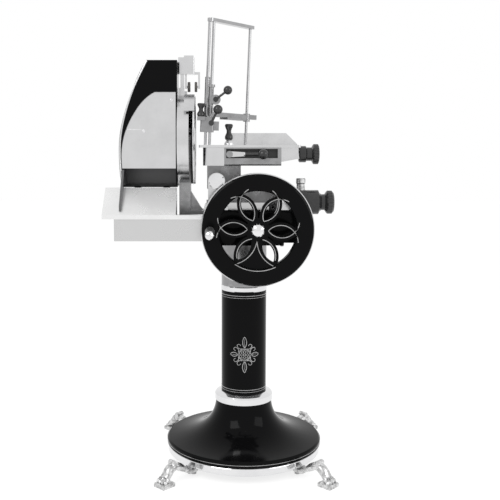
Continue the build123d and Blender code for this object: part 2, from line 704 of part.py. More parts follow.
# ---- flywheel and handle ----------------------------------------------------------------------
def flywheel():
    """Six-petal flywheel: ribbons round pointed openings, and one solid sector at the bottom."""
    low, high = math.radians(-120), math.radians(-60)
    sector = outline([
        (0, 0), (RIM_IN_R * math.cos(low), RIM_IN_R * math.sin(low)), (0, -RIM_IN_R - 2),
        (RIM_IN_R * math.cos(high), RIM_IN_R * math.sin(high)),
    ])
    web = Circle(HUB_R + 6) + Rot(0, 0, PETAL_TURN) * sector
    for i in range(PETALS):
        web += vesica(PETAL_HOOP, PETAL_TURN + 360.0 * i / PETALS)
    for i in range(PETALS):
        web -= vesica(PETAL_HOLE, PETAL_TURN + 360.0 * i / PETALS)
    face, back = WHEEL_FACE_Y, WHEEL_FACE_Y + RIM_W
    wheel = Pos(WHEEL_X, 0, DRIVE_Z) * in_xz(web, (face + WEB_SET_BACK, face + WEB_SET_BACK + WEB_T))
    wheel += turned_y([
        (face, RIM_IN_R), (face, WHEEL_R - 9), (face + 3, WHEEL_R - 4), (face + 9, WHEEL_R),
        (back - 9, WHEEL_R), (back, WHEEL_R - 8), (back, RIM_IN_R), (back - 6, RIM_IN_R - 2),
        (face + 6, RIM_IN_R - 2),
    ], WHEEL_X, DRIVE_Z)
    wheel += bar_y(HUB_R, (face + 1, face + HUB_BACK), WHEEL_X, DRIVE_Z)
    wheel -= bar_y(WHEEL_SHAFT_R + FIT, (face + 4, face + HUB_BACK + OVER), WHEEL_X, DRIVE_Z)
    return wheel - bar_y(HANDLE_PIN_R + FIT, (face - OVER, back + OVER), WHEEL_X - HANDLE_R, DRIVE_Z)


def hub_cap():
    """Polished cap on the flywheel's hub."""
    face = WHEEL_FACE_Y + 1
    return turned_y([
        (face, 0), (face, HUB_CAP_R), (face - 4, HUB_CAP_R), (face - 8, HUB_CAP_R * 0.85),
        (face - HUB_CAP_H, HUB_CAP_R * 0.5), (face - HUB_CAP_H - 1, 0),
    ], WHEEL_X, DRIVE_Z)


def handle_pin():
    """Steel pin riveted through the rim, with a collar inside the grip and a round head outside."""
    face = WHEEL_FACE_Y
    end = face - HANDLE_L
    back = face + RIM_W
    return turned_y([
        (end - 8, 0), (end - 7.5, 6.0), (end - 5, 10.0), (end, HANDLE_CAP_R), (end + 4, HANDLE_CAP_R),
        (end + 4, HANDLE_PIN_R), (face - 5, HANDLE_PIN_R), (face - 5, 10.5), (face, 10.5),
        (face, HANDLE_PIN_R), (back, HANDLE_PIN_R), (back, 10.0), (back + 4, 10.0), (back + 4, 0),
    ], WHEEL_X - HANDLE_R, DRIVE_Z)


def handle_grip():
    """Turned grip that spins on the pin."""
    near = WHEEL_FACE_Y - 5 - GAP
    far = WHEEL_FACE_Y - HANDLE_L + 4 + GAP
    run = near - far
    bore = HANDLE_PIN_R + RUN
    return turned_y([
        (near, bore), (near, 11.0), (near - 5, 12.5), (near - 0.30 * run, GRIP_R),
        (near - 0.55 * run, GRIP_R - 0.6), (near - 0.80 * run, 12.6), (far + 6, 11.8), (far, 11.0),
        (far, bore),
    ], WHEEL_X - HANDLE_R, DRIVE_Z)


# ---- knife and its housing --------------------------------------------------------------------
def knife_blade():
    """Hollow-ground round knife, flat on the meat side."""
    left, right = KNIFE_X
    bore = CROSS_R + FIT
    return turned_x([
        (left, bore), (left, 58.0), (right - 5, KNIFE_R - 16), (right - 0.8, KNIFE_R), (right - 0.2, KNIFE_R),
        (right - 1.4, KNIFE_R - 30), (right, 52.0), (right, bore),
    ], KNIFE_Y, KNIFE_Z)


def knife_arbor():
    """Knife shaft with the shoulder and outer disc that clamp the knife."""
    left, right = KNIFE_X
    return turned_x([
        (CHAIN_X - 6, 0), (CHAIN_X - 6, CROSS_R), (left - 1.5, CROSS_R), (left - 1.5, 18.0), (left, 18.0),
        (left, CROSS_R), (right, CROSS_R), (right, KNIFE_CAP_R), (right + KNIFE_CAP_T - 2, KNIFE_CAP_R),
        (right + KNIFE_CAP_T, KNIFE_CAP_R - 5), (right + KNIFE_CAP_T, 0),
    ], KNIFE_Y, KNIFE_Z)


def knife_post():
    """Upright casting that carries the knife, with the chain's chamber and a webbed foot."""
    post = upright(POST_HALF, POST_X)
    post += block((POST_X[1] - OVER, BASE_X[0]), POST_FOOT_Y, POST_FOOT_Z)
    foot_top = POST_FOOT_Z[1]
    web = outline([
        (POST_X[1] - OVER, foot_top - OVER), (BASE_X[0] - 2, foot_top - OVER),
        (BASE_X[0] - 10, foot_top + 8), (POST_X[1] - OVER, foot_top + 62),
    ])
    for y in (CROSS_Y - 14, CROSS_Y + 10):
        post += in_xz(web, (y, y + 10))
    post -= upright(POST_HALF - POST_WALL, (POST_X[0] - OVER, CHAMBER_X))
    post -= bar_x(CROSS_BUSH_R + FIT, (CHAMBER_X - OVER, POST_X[1] + OVER), KNIFE_Y, KNIFE_Z)
    return post - bar_x(CROSS_R + 4, (CHAMBER_X - OVER, BASE_X[0] + OVER), CROSS_Y, DRIVE_Z)


def chain_cover():
    """Lid over the chain's chamber on the post's left side."""
    return upright(POST_HALF, (POST_X[0] - SIDE_T, POST_X[0]))


def knife_drum():
    """Polished drum behind the knife: a plate on the lid and a band round it."""
    centre = Pos(KNIFE_Y, KNIFE_Z)
    plate_x = (DRUM_X[0], DRUM_X[0] + SIDE_T)
    drum = in_yz(centre * Circle(DRUM_R), plate_x)
    band = centre * (Circle(DRUM_R) - Circle(DRUM_R - DRUM_WALL))
    drum += in_yz(band, (plate_x[1] - OVER, DRUM_X[1]))
    half = POST_HALF + FIT
    low = KNIFE_Z - DRUM_R
    return drum - block((plate_x[1], DRUM_X[1] + OVER), (KNIFE_Y - half, KNIFE_Y + half), (low - 5, low + 40))


def sector(radius, low, high):
    """Pie outline on the knife's axis between two angles, counted from the rear upwards."""
    points = [(KNIFE_Y, KNIFE_Z)]
    steps = 12
    for i in range(steps + 1):
        angle = math.radians(low + (high - low) * i / steps)
        points.append((KNIFE_Y + radius * math.cos(angle), KNIFE_Z + radius * math.sin(angle)))
    return outline(points)


def knife_guard():
    """Guard round the knife's edge, with the sharpener's block and upright guide."""
    reach = GUARD_R[1] + 20
    back_x, step_x, front_x = GUARD_X
    guard = in_yz(Pos(KNIFE_Y, KNIFE_Z) * Circle(GUARD_R[1]) & sector(reach, -70, 145), (back_x, front_x))
    guard -= bar_x(GUARD_R[0], (step_x, front_x + OVER), KNIFE_Y, KNIFE_Z)
    guard -= in_yz(sector(reach, 68, 112), (step_x, front_x + OVER))
    x, y = SHARPENER_POST
    foot_y = (y - 14, y + 30)
    low = KNIFE_Z + DRUM_R - 12
    foot_top = STONE_Z - 4
    guard += block((x - 10, step_x - 1), foot_y, (low, foot_top - 10))
    guard += block((x - 10, x + 6), foot_y, (low, foot_top))
    guard -= bar_x(DRUM_R + FIT, (DRUM_X[0] - OVER, front_x), KNIFE_Y, KNIFE_Z)
    return guard + block((x - 6, x + 6), (y - 8, y + 8), (foot_top - 2, SHARPENER_Z[0] + 23))


# ---- slice side -------------------------------------------------------------------------------
def slice_tray():
    """Folded stainless tray: sloping plate, front lip, and the deep skirt below."""
    front, back = TRAY_Y
    inner_y = BASE_Y[0] - 0.5
    drop = SHEET_T * 1.3
    slope = outline([(front, LIP_Z), (back, INCLINE_Z), (back, INCLINE_Z - drop), (front, LIP_Z - drop)])
    tray = in_yz(slope, (TRAY_X[0], INCLINE_END_X))
    tray += block((INCLINE_END_X - OVER, TRAY_X[1]), (front, inner_y), (LIP_Z - drop, LIP_Z))
    tray += block(TRAY_X, (front, front + SHEET_T), (LIP_Z - LIP_H, LIP_Z))
    tray += block(TRAY_X, (front, SKIRT_Y + SHEET_T), (LIP_Z - LIP_H, LIP_Z - LIP_H + SHEET_T))
    skirt_z = (SKIRT_Z, LIP_Z - LIP_H + SHEET_T)
    tray += block((SKIRT_X, TRAY_X[1]), (SKIRT_Y, SKIRT_Y + SHEET_T), skirt_z)
    slant = (INCLINE_Z - LIP_Z) / (back - front)
    side = outline([
        (SKIRT_Y, SKIRT_Z), (back, SKIRT_Z), (back, INCLINE_Z - OVER),
        (SKIRT_Y, LIP_Z - OVER + slant * (SKIRT_Y - front)),
    ])
    tray += in_yz(side, (SKIRT_X, SKIRT_X + SHEET_T))
    tray += in_yz(side, (INCLINE_END_X - SHEET_T, INCLINE_END_X))
    tray += block((SKIRT_X, INCLINE_END_X), (back - SHEET_T, back), (SKIRT_Z, INCLINE_Z - OVER))
    tray += block((INCLINE_END_X - 90, INCLINE_END_X), (back - OVER, ARM_Y[0]), ARM_Z)
    end = block((TRAY_X[1] - SHEET_T, TRAY_X[1]), (SKIRT_Y, inner_y), (SKIRT_Z, LIP_Z - OVER))
    return tray + end


def above_base(points):
    """Points whose second number is a height above the machine base."""
    return [(x, BASE_TOP_Z + z) for x, z in points]


HOOD_LEFT = above_base([
    (-306.0, 458.0), (-338.0, 397.0), (-361.0, 339.0), (-381.0, 273.0), (-391.0, 218.0),
    (-393.0, 168.0), (-391.0, 118.0), (-384.0, 66.0),
])
HOOD_INNER = above_base([
    (-303.0, 458.0 - HOOD_T), (-333.0, 395.0), (-356.0, 337.0), (-376.0, 272.0), (-386.0, 217.0),
    (-388.0, 168.0), (-386.0, 118.0), (-379.0, 66.0 + HOOD_T),
])
MOUTH_LEFT = above_base([
    (-281.0, 360.0), (-311.0, 339.0), (-346.0, 294.0), (-371.0, 243.0), (-384.0, 188.0),
    (-384.0, 126.0), (-377.0, 66.0 + HOOD_T),
])
PLATE_LEFT = above_base([
    (-286.0, 365.0), (-317.0, 344.0), (-350.0, 298.0), (-375.0, 244.0), (-386.0, 188.0), (-385.5, 124.0),
])


def hood_outline(left, right_x):
    """Outline with a bowed left side and a straight top, right side and bottom."""
    run = Polyline(left[-1], (right_x, left[-1][1]), (right_x, left[0][1]), left[0])
    return make_face([Spline(*left), *run.edges()])


def knife_hood():
    """Enamelled hood on the slice side: an open-fronted shell with a broad rim and a side strip."""
    front, back = HOOD_Y
    hood = in_xz(hood_outline(HOOD_LEFT, HOOD_X), (front, back))
    hood -= in_xz(hood_outline(HOOD_INNER, HOOD_X - HOOD_T), (front + HOOD_T, back - HOOD_T))
    hood -= in_xz(hood_outline(MOUTH_LEFT, HOOD_X - HOOD_T), (front - OVER, front + HOOD_T + OVER))
    slant = (INCLINE_Z - LIP_Z) / (TRAY_Y[1] - TRAY_Y[0])
    low_y, lift = -164.0, 0.6
    strip = outline([
        (low_y, LIP_Z + slant * (low_y - TRAY_Y[0]) + lift), (TRAY_Y[1], INCLINE_Z + lift),
        (front + OVER, HOOD_Z[0]), (front + OVER, HOOD_Z[0] + 56), (low_y, LIP_Z + 26),
    ])
    return hood + in_yz(strip, (-384.0, -377.0))


def slice_deflector():
    """Polished plate in the hood's mouth that turns the slices down on to the tray."""
    front = HOOD_Y[0] + HOOD_T
    return in_xz(hood_outline(PLATE_LEFT, HOOD_X - HOOD_T), (front, front + 4.0))


# ---- carriage ---------------------------------------------------------------------------------
def rail_brackets():
    """Four brackets on the base that hold the carriage rails."""
    pieces = []
    for y in (BRACKET_FRONT_Y, BRACKET_REAR_Y):
        bore_y = (y[0] - OVER, y[1] + OVER)
        x, z = LEFT_RAIL
        half = 26.0
        left = block((x - half, x + half), y, (BASE_TOP_Z, z)) + bar_y(half, y, x, z)
        left += block((x - 34, x + 34), y, (BASE_TOP_Z, BASE_TOP_Z + 10))
        pieces.append(left - bar_y(LEFT_RAIL_R + FIT, bore_y, x, z))
        x, z = RIGHT_RAIL
        half = 18.0
        right = block((x - half, x + half), y, (BASE_TOP_Z, z)) + bar_y(half, y, x, z)
        pieces.append(right - bar_y(RIGHT_RAIL_R + FIT, bore_y, x, z))
    return group(pieces)


def guide_rails():
    """Two polished round rails, the upper one with a broad end collar in front."""
    left = bar_y(LEFT_RAIL_R, RAIL_Y, *LEFT_RAIL)
    left += turned_y([
        (RAIL_Y[0] - 8, 0), (RAIL_Y[0] - 8, RAIL_COLLAR_R - 3), (RAIL_Y[0] - 5, RAIL_COLLAR_R),
        (BRACKET_FRONT_Y[0], RAIL_COLLAR_R), (BRACKET_FRONT_Y[0], 0),
    ], *LEFT_RAIL)
    return group([left, bar_y(RIGHT_RAIL_R, RAIL_Y, *RIGHT_RAIL)])


def saddle():
    """Casting that runs on the rails: cross member with the rocker's fork, and pillar to the bed."""
    x0, x1, z0, z1 = SADDLE_LOW
    low = block((x0, x1), SADDLE_Y, (z0, z1))
    low = fillet(low.edges().filter_by(Axis.Y), 6.0)
    pillar = block(SADDLE_PILLAR[:2], SADDLE_Y, (SADDLE_PILLAR[2], BED_Z[0]))
    pillar = fillet(pillar.edges().filter_by(Axis.Y).group_by(Axis.Z)[0], 6.0)
    fork_x = (ROCKER_X[0] - 2, ROCKER_X[1] + 2)
    tower = block((fork_x[0] - 9, fork_x[1] + 9), SADDLE_Y, (z1 - OVER, FORK_TOP_Z + 8))
    piece = low + pillar + tower
    over_y = (SADDLE_Y[0] - OVER, SADDLE_Y[1] + OVER)
    piece -= bar_y(LEFT_RAIL_R + RUN, over_y, *LEFT_RAIL)
    piece -= bar_y(RIGHT_RAIL_R + RUN, over_y, *RIGHT_RAIL)
    piece -= block(fork_x, (CROSS_Y - FORK_HALF, CROSS_Y + FORK_HALF), (z0 - OVER, FORK_TOP_Z))
    piece -= block(fork_x, (CROSS_Y - FORK_FLARE, CROSS_Y + FORK_FLARE), (z0 - OVER, z0 + 9))
    return screw_bored(piece, bed_screw_places())


def runner_grooves(x):
    """Grooves along the bed for the table's runners."""
    half = RUNNER[0] / 2 + GAP
    z = (BED_Z[1] - RUNNER[1] - GAP, BED_Z[1] + OVER)
    return [block(x, (y - half, y + half), z) for y in RUNNERS_Y]


def carriage_bed():
    """Enamelled bed under the meat table: runner grooves, feed nut and the lever's recess."""
    bed = block(BED_X, BED_Y, BED_Z)
    bed = fillet(bed.edges().filter_by(Axis.X).group_by(Axis.Z)[0], 5.0)
    cavity_x = (BED_X[0] + 8, BED_X[1] - 42)
    cavity_y = (BED_Y[0] + 22, BED_Y[1] - 8)
    bed -= block(cavity_x, cavity_y, (BED_Z[0] + BED_FLOOR, BED_Z[1] - 10))
    window_z = (BED_Z[0] - OVER, BED_Z[0] + BED_FLOOR + OVER)
    bed -= block((cavity_x[1] - 64, cavity_x[1] - 8), cavity_y, window_z)
    bed -= block((-60.0, 97.0), (BED_Y[0] - OVER, BED_Y[0] + 14), (LEVER_Z - 12, LEVER_Z + 16))
    bed = bed.cut(*runner_grooves((BED_X[0] - OVER, BED_X[1] + OVER)))
    bed -= bar_x(FEED_SCREW_R + RUN, (cavity_x[1] - OVER, BED_X[1] + OVER), FEED_Y, FEED_Z)
    bed += bar_y(6.0, (LEVER_Y[0] - 4, BED_Y[0] + 15), LEVER_X, LEVER_Z)
    bed += bar_y(10.0, (LEVER_Y[0] - 4, LEVER_Y[0] - GAP), LEVER_X, LEVER_Z)
    return screw_bored(bed, bed_screw_places())


def carriage_end():
    """Polished left end of the bed, rounded at the front."""
    end = block((END_X, BED_X[0]), BED_Y, BED_Z)
    front = end.edges().filter_by(Axis.Z).group_by(Axis.Y)[0].sort_by(Axis.X)
    end = fillet(front[0], END_ROUND_R)
    end = end.cut(*runner_grooves((END_X - OVER, BED_X[0] + OVER)))
    hollow_y = (BED_Y[0] + 36, SADDLE_Y[0] - 4)
    return end - block((END_X + 8, BED_X[0] - 8), hollow_y, (BED_Z[0] - OVER, BED_Z[1] - 12))


def release_lever():
    """Lever that frees the feed nut: flat steel arm, tapered grip and black ball."""
    tip_x = LEVER_X + 48
    arm = outline([
        (LEVER_X, LEVER_Z + 9), (tip_x, LEVER_Z + 6), (tip_x, LEVER_Z - 6), (LEVER_X, LEVER_Z - 9),
    ])
    lever = in_xz(arm, LEVER_Y) + bar_y(9.0, LEVER_Y, LEVER_X, LEVER_Z)
    ball_x, ball_y, ball_r = LEVER_BALL
    lever += bar_between(5.5, (tip_x - 4, LEVER_Y[0] + 1.5, LEVER_Z), (ball_x, ball_y, LEVER_Z))
    lever += Pos(ball_x, ball_y, LEVER_Z) * Sphere(ball_r)
    return lever - bar_y(6.0 + RUN, (LEVER_Y[0] - OVER, LEVER_Y[1] + OVER), LEVER_X, LEVER_Z)


# ---- meat table -------------------------------------------------------------------------------
def rod_places():
    """Feet of the twin rods and the right rod on the table."""
    x, y = LEFT_ROD
    return ((x - TWIN_HALF, y), (x + TWIN_HALF, y), RIGHT_ROD)


def meat_table():
    """Polished table top with its runners, the feed screw's bracket and the knob's stud."""
    table = block(TABLE_X, TABLE_Y, TABLE_Z)
    table = fillet(table.edges().filter_by(Axis.Z), 6.0)
    half = RUNNER[0] / 2
    for y in RUNNERS_Y:
        runner_z = (TABLE_Z[0] - RUNNER[1], TABLE_Z[0] + OVER)
        table += block((TABLE_X[0] + 14, BED_X[1] - 2), (y - half, y + half), runner_z)
    start = BED_X[1] + GAP
    end = KNOB_START_X - GAP
    high = TABLE_Z[0] + OVER
    bracket = outline([(start, high), (165.0, high), (end, FEED_Z - 14), (start, FEED_Z - 25)])
    table += in_xz(bracket, (FEED_Y - 34, FEED_Y + 34))
    table -= bar_x(FEED_SCREW_R + RUN, (start - OVER, end + OVER), FEED_Y, FEED_Z)
    for x, y in rod_places():
        table -= lean(bar_z(ROD_R + FIT, (TABLE_Z[0] + 2, TABLE_Z[1] + 5), x, y))
    low = TABLE_Z[1] - OVER
    top = TABLE_Z[1] + TABLE_STUD_H
    return table + turned_z([(0, low), (15.0, low), (14.0, low + 7), (8.0, top), (0, top)], *TABLE_KNOB)


def table_fence():
    """Upright polished plate behind the meat, cut off slantwise on its right."""
    low = TABLE_Z[1]
    left, corner, right = FENCE_X
    face = outline([(left, low), (right, low), (right, low + 3), (corner, FENCE_TOP_Z), (left, FENCE_TOP_Z)])
    fence = in_xz(face, (FENCE_Y, FENCE_Y + FENCE_T))
    fence += block((left, TABLE_X[1] - 10), (FENCE_Y + FENCE_T - OVER, FENCE_Y + 33), (low, low + 4))
    groove_z = (low - OVER, FENCE_TOP_Z + OVER)
    return fence - block((corner - 9, corner - 5), (FENCE_Y - OVER, FENCE_Y + 1.5), groove_z)


def table_knob():
    """Black waisted knob that turns on the table's stud."""
    return turned_z(waisted(TABLE_Z[1] + TABLE_STUD_H + GAP, 50.0, 13.0, 7.5), *TABLE_KNOB)


def press_columns():
    """Two slim rods side by side on the left and one on the right."""
    span = (TABLE_Z[0] + 2.5, TOP_Z - 4)
    return group(lean(bar_z(ROD_R, span, x, y)) for x, y in rod_places())


def press_run():
    """Length and direction from the left rods to the right one."""
    dx, dy = RIGHT_ROD[0] - LEFT_ROD[0], RIGHT_ROD[1] - LEFT_ROD[1]
    return math.hypot(dx, dy), math.degrees(math.atan2(dy, dx))


def top_bar():
    """Flat bar that ties the rods at the top."""
    length, turn = press_run()
    width, height = TOP_BAR
    bar = Box(length + 26, width, height)
    bar = fillet(bar.edges().filter_by(Axis.Z), 8.0)
    middle = ((LEFT_ROD[0] + RIGHT_ROD[0]) / 2, (LEFT_ROD[1] + RIGHT_ROD[1]) / 2)
    bar = Pos(*middle, TOP_Z - height / 2) * Rot(0, 0, turn) * bar
    for x, y in rod_places():
        bar -= bar_z(ROD_R + FIT, (TOP_Z - 20, TOP_Z - 4 + FIT), x, y)
    return lean(bar)


def press_head():
    """Clamp head on the twin rods: block, tall sleeve, clamp collar, and the arm with its foot."""
    x, y = LEFT_ROD
    left, right, _ = rod_places()
    low, high = HEAD_BLOCK_Z
    head = fillet(block((x - 24, x + 18), (y - 15, y + 15), HEAD_BLOCK_Z).edges().filter_by(Axis.Z), 6.0)
    head += block((x + 12, x + 34), (y - 11, y + 11), (low + 6, low + 34))
    head += block((x - 34, x - 10), (y - 33, y - 4), (high - 12, high))
    head += bar_z(7.6, (high - OVER, high + 123), *left) + bar_z(7.6, (high - OVER, high + 93), *right)
    head += bar_z(11.0, (high + 92, high + 100), *right)
    head += bar_y(15.0, (y - 15, y + 10), *UPPER_HUB)
    head += block((x + 4, x + 26), (y - 8, y + 8), (UPPER_HUB[1] - 13, UPPER_HUB[1] + 13))
    length, turn = press_run()
    place = Pos(x, y, 0) * Rot(0, 0, turn)
    arm_low, arm_high = HEAD_ARM_Z
    head += place * block((0, length + 42), (-7, 7), HEAD_ARM_Z)
    head += place * block((70.0, 158.0), (-17, 17), (arm_low - 6, arm_low + OVER))
    head += bar_z(11.0, (arm_low - 8, arm_high + 3), *RIGHT_ROD)
    head += bar_z(13.0, (high - OVER, arm_low + OVER), x, y)
    for rod in rod_places():
        head -= bar_z(ROD_R + RUN, (low - 10, high + 137), *rod)
    return lean(head)


def ball_lever(hub, ball, ball_r, length):
    """Ball lever that clamps: hub along Y, stem and ball in front of the press head."""
    y = LEFT_ROD[1] - 15 - GAP
    lever = bar_y(8.0, (y - length, y), *hub)
    start = (hub[0], y - length / 2, hub[1])
    end = (ball[0], y - length / 2 - 4, ball[1])
    return lean(lever + bar_between(3.6, start, end) + Pos(*end) * Sphere(ball_r))


def clamp_lever_upper():
    """Ball lever that locks the press head's height."""
    return ball_lever(UPPER_HUB, UPPER_BALL, 13.6, 13.0)


def clamp_lever_lower():
    """Ball lever that locks the press foot."""
    return ball_lever(LOWER_HUB, LOWER_BALL, 14.5, 16.0)


def press_knob():
    """Small waisted knob on the left of the press head."""
    return lean(turned_z(waisted(HEAD_BLOCK_Z[1] + GAP, 40.0, 12.0, 6.5), *PRESS_KNOB))


# ---- feed and thickness -----------------------------------------------------------------------
def feed_screw():
    """Screw that draws the meat table along the carriage."""
    return bar_x(FEED_SCREW_R, (-52.0, KNOB_START_X + 30), FEED_Y, FEED_Z)


def feed_knob():
    """Fluted black hand knob on the feed screw."""
    x = KNOB_START_X
    bore = FEED_SCREW_R + FIT
    knob = turned_x([
        (x, bore), (x, 22.0), (x + 3, 26.0), (x + 22, 26.0), (x + 26, 21.5), (x + 41, 21.5), (x + 45, 29.0),
        (x + 48, 32.0), (x + 61, 32.0), (x + 64, 28.0), (x + 64, 0), (x + 30 + FIT, 0), (x + 30 + FIT, bore),
    ], FEED_Y, FEED_Z)
    return fluted(knob, 32.0, (x + 42, x + 65), FEED_Y, FEED_Z)


def thickness_block():
    """Black block on the base that carries the thickness spindle and the index plunger."""
    x0, x1, y0, y1, top = DIAL_BLOCK
    body = block((x0, x1), (y0, y1), (BASE_TOP_Z, top))
    body = fillet(body.edges().filter_by(Axis.X).group_by(Axis.Z)[-1], 16.0)
    body += block((BASE_X[1] + GAP, x1), (y0 + 8, y1 - 8), (BASE_TOP_Z - 30, BASE_TOP_Z + OVER))
    body -= bar_x(SPINDLE_R + RUN, (x0 - OVER, x1 + OVER), DIAL_Y, DIAL_Z)
    return body - bar_z(6.0 + RUN, (top - 14, top + OVER), PLUNGER_X, DIAL_Y)


def thickness_knob():
    """Dial drum, waist, fluted flange and spindle of the thickness setting."""
    x = DIAL_BLOCK[1] + GAP
    start = DIAL_BLOCK[0] - 6
    knob = turned_x([
        (start, 0), (start, SPINDLE_R), (x, SPINDLE_R), (x, 38.0), (x + 38, 38.0), (x + 42, 30.0),
        (x + 48, 25.0), (x + 58, 25.0), (x + 64, 34.0), (x + 67, 36.5), (x + 80, 36.5), (x + 86, 30.0),
        (x + 86, 0),
    ], DIAL_Y, DIAL_Z)
    return fluted(knob, 36.5, (x + 58, x + 87), DIAL_Y, DIAL_Z)


def index_plunger():
    """Upright pull knob that locks the dial."""
    low = DIAL_BLOCK[4]
    return turned_z([
        (0, low - 12), (6.0, low - 12), (6.0, low + GAP), (13.0, low + GAP), (13.0, low + 19),
        (15.0, low + 22), (15.0, low + 35), (13.0, low + 37), (0, low + 37),
    ], PLUNGER_X, DIAL_Y)


# ---- sharpener --------------------------------------------------------------------------------
def sharpener_housing():
    """Polished head that slides on the guide, with an arm to each stone."""
    x, y = SHARPENER_POST
    low, high = SHARPENER_Z
    body = block((HOOD_X + 0.5, -159.0), (y - 20, y + 24), SHARPENER_Z)
    body = fillet(body.edges().filter_by(Axis.Z), 4.0)
    body += block((x + 6, -162.0), (y - 16, y + 18), (high - OVER, high + 6))
    body -= block((x - 6 - RUN, x + 6 + RUN), (y - 8 - RUN, y + 8 + RUN), (low - OVER, high - 17))
    arm_y = (KNIFE_Y - 5, KNIFE_Y + 5)
    arm_z = (STONE_Z - 6, low + OVER)
    body += block((-190.0, -184.0), arm_y, arm_z)
    body += block((-162.0, -142.0), arm_y, (low, low + 8)) + block((-148.0, -142.0), arm_y, arm_z)
    for pin_x in ((-185.0, GRIND_X[1]), (HONE_X[0], -147.0)):
        body += bar_x(4.0, pin_x, KNIFE_Y, STONE_Z)
    return body


def stone(x):
    """Grinding wheel running on its pin."""
    wheel = chamfer(bar_x(STONE_R, x, KNIFE_Y, STONE_Z).edges().filter_by(GeomType.CIRCLE), 0.8)
    return wheel - bar_x(4.0 + RUN, (x[0] - OVER, x[1] + OVER), KNIFE_Y, STONE_Z)


def grinding_stone():
    """Stone that grinds the bevel side."""
    return stone(GRIND_X)


def honing_stone():
    """Stone that takes the burr off the flat side."""
    return stone(HONE_X)


# ---- export -----------------------------------------------------------------------------------
FEET = {"foot_rear_right": 45.0, "foot_rear_left": 135.0, "foot_front_left": 225.0, "foot_front_right": 315.0}
SPROCKETS = {"drive_sprocket": DRIVE_Z, "knife_sprocket": KNIFE_Z}
SINGLE = (
    pedestal_bolts, base_ring, base_bell, lower_collar, column_tube, upper_collar, column_head, base_plate,
    base_screws, machine_base, shaft_bushes, rail_brackets, guide_rails, knife_post, drive_chain,
    chain_cover, knife_drum, knife_guard, knife_hood, slice_deflector, slice_tray, thickness_block,
    flywheel, hub_cap, wheel_shaft, bevel_gear, handle_pin, handle_grip, crank_shaft, bevel_pinion,
    knife_blade, knife_arbor, rocker_arm, saddle, carriage_bed, bed_screws, carriage_end,
    release_lever, meat_table, table_fence, table_knob, press_columns, top_bar, press_head,
    clamp_lever_upper, clamp_lever_lower, press_knob, feed_screw, feed_knob, thickness_knob,
    index_plunger, sharpener_housing, grinding_stone, honing_stone,
)


def all_parts():
    """Every node's name and shape."""
    parts = {name: paw_foot(turn) for name, turn in FEET.items()}
    parts.update({name: sprocket(z) for name, z in SPROCKETS.items()})
    parts.update({make.__name__: make() for make in SINGLE})
    return parts


if __name__ == "__main__":
    for name, shape in all_parts().items():
        export_step(shape, os.path.join("parts", name + ".step"))
        print(name, len(shape.solids()), round(shape.volume / 1000, 1), "cm3")
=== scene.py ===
"""Finishes, trim and studio of a hand crank meat slicer, built round its CAD frame. Metres, +Z up."""

import json
import math

import bpy
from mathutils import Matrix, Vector


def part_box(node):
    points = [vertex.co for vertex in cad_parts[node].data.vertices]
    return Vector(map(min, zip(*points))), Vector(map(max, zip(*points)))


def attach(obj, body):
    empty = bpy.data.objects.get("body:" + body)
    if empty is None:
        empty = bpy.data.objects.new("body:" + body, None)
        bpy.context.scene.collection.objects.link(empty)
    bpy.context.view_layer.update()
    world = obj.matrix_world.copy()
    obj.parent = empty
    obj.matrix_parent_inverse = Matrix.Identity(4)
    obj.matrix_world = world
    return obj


bl_info = {
    "name": "Hand Crank Meat Slicer",
    "version": (1, 0, 0),
    "blender": (4, 5, 0),
    "location": "3D View > Sidebar > Slicer",
    "description": "Paints the slicer's parts, adds its pinstripes and trim, and sets up the studio",
    "category": "Object",
}

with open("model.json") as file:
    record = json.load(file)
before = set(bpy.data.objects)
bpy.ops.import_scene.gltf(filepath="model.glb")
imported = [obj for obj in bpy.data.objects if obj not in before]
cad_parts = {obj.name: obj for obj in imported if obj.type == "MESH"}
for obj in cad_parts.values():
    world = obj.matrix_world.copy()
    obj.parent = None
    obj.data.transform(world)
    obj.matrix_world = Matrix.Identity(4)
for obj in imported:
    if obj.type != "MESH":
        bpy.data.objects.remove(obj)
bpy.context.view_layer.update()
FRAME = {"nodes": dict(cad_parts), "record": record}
MM = 0.001


# ---- places taken from the frame --------------------------------------------------------------
def middle(node):
    """Centre of a CAD node's box."""
    low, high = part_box(node)
    return (low + high) / 2


def front(node):
    """Smallest Y of a CAD node."""
    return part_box(node)[0].y


WHEEL = middle("flywheel")
COLUMN_LOW, COLUMN_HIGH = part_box("column_tube")
COLUMN_R = (COLUMN_HIGH.x - COLUMN_LOW.x) / 2
BELL_LOW, BELL_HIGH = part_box("base_bell")
BELL_R = (BELL_HIGH.x - BELL_LOW.x) / 2
DEFLECTOR_LOW, DEFLECTOR_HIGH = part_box("slice_deflector")

# Wheel's pinstripes. Turns are in degrees from +X towards +Z, round the hub.
PETAL_TURN = -3.5
PETAL_TIPS = (31 * MM, 109 * MM)    # inner and outer end of a petal's stripe from the hub's axis
PETAL_BULGE = 18.5 * MM
PETAL_RUN_ON = 32 * MM              # how far a stripe runs on past the tip
HALF_PETALS = {4: (-1,), 5: (1,)}   # petals beside the solid sector, striped on one side only
HALF_PETAL_RUN_ON = -8 * MM         # these stripes stop short of the tip
SECTOR_TURN = -94
SECTOR_HALF = 29.5                  # half of the solid sector's angle
SECTOR_TIP_R = 32 * MM
SECTOR_BASE_R = 121 * MM
SECTOR_BULGE = 14.5 * MM
STANDOFF = 20 * MM                  # how far in front of a part its flat trim is drawn

# Lines round the column and the bell, as (distance, line width).
LINES_BELOW_TOP = ((12 * MM, 1.6 * MM), (19 * MM, 1.0 * MM))
LINES_ABOVE_FOOT = ((44 * MM, 1.6 * MM), (37 * MM, 1.0 * MM))
BELL_LINE = (10 * MM, 1.4 * MM)

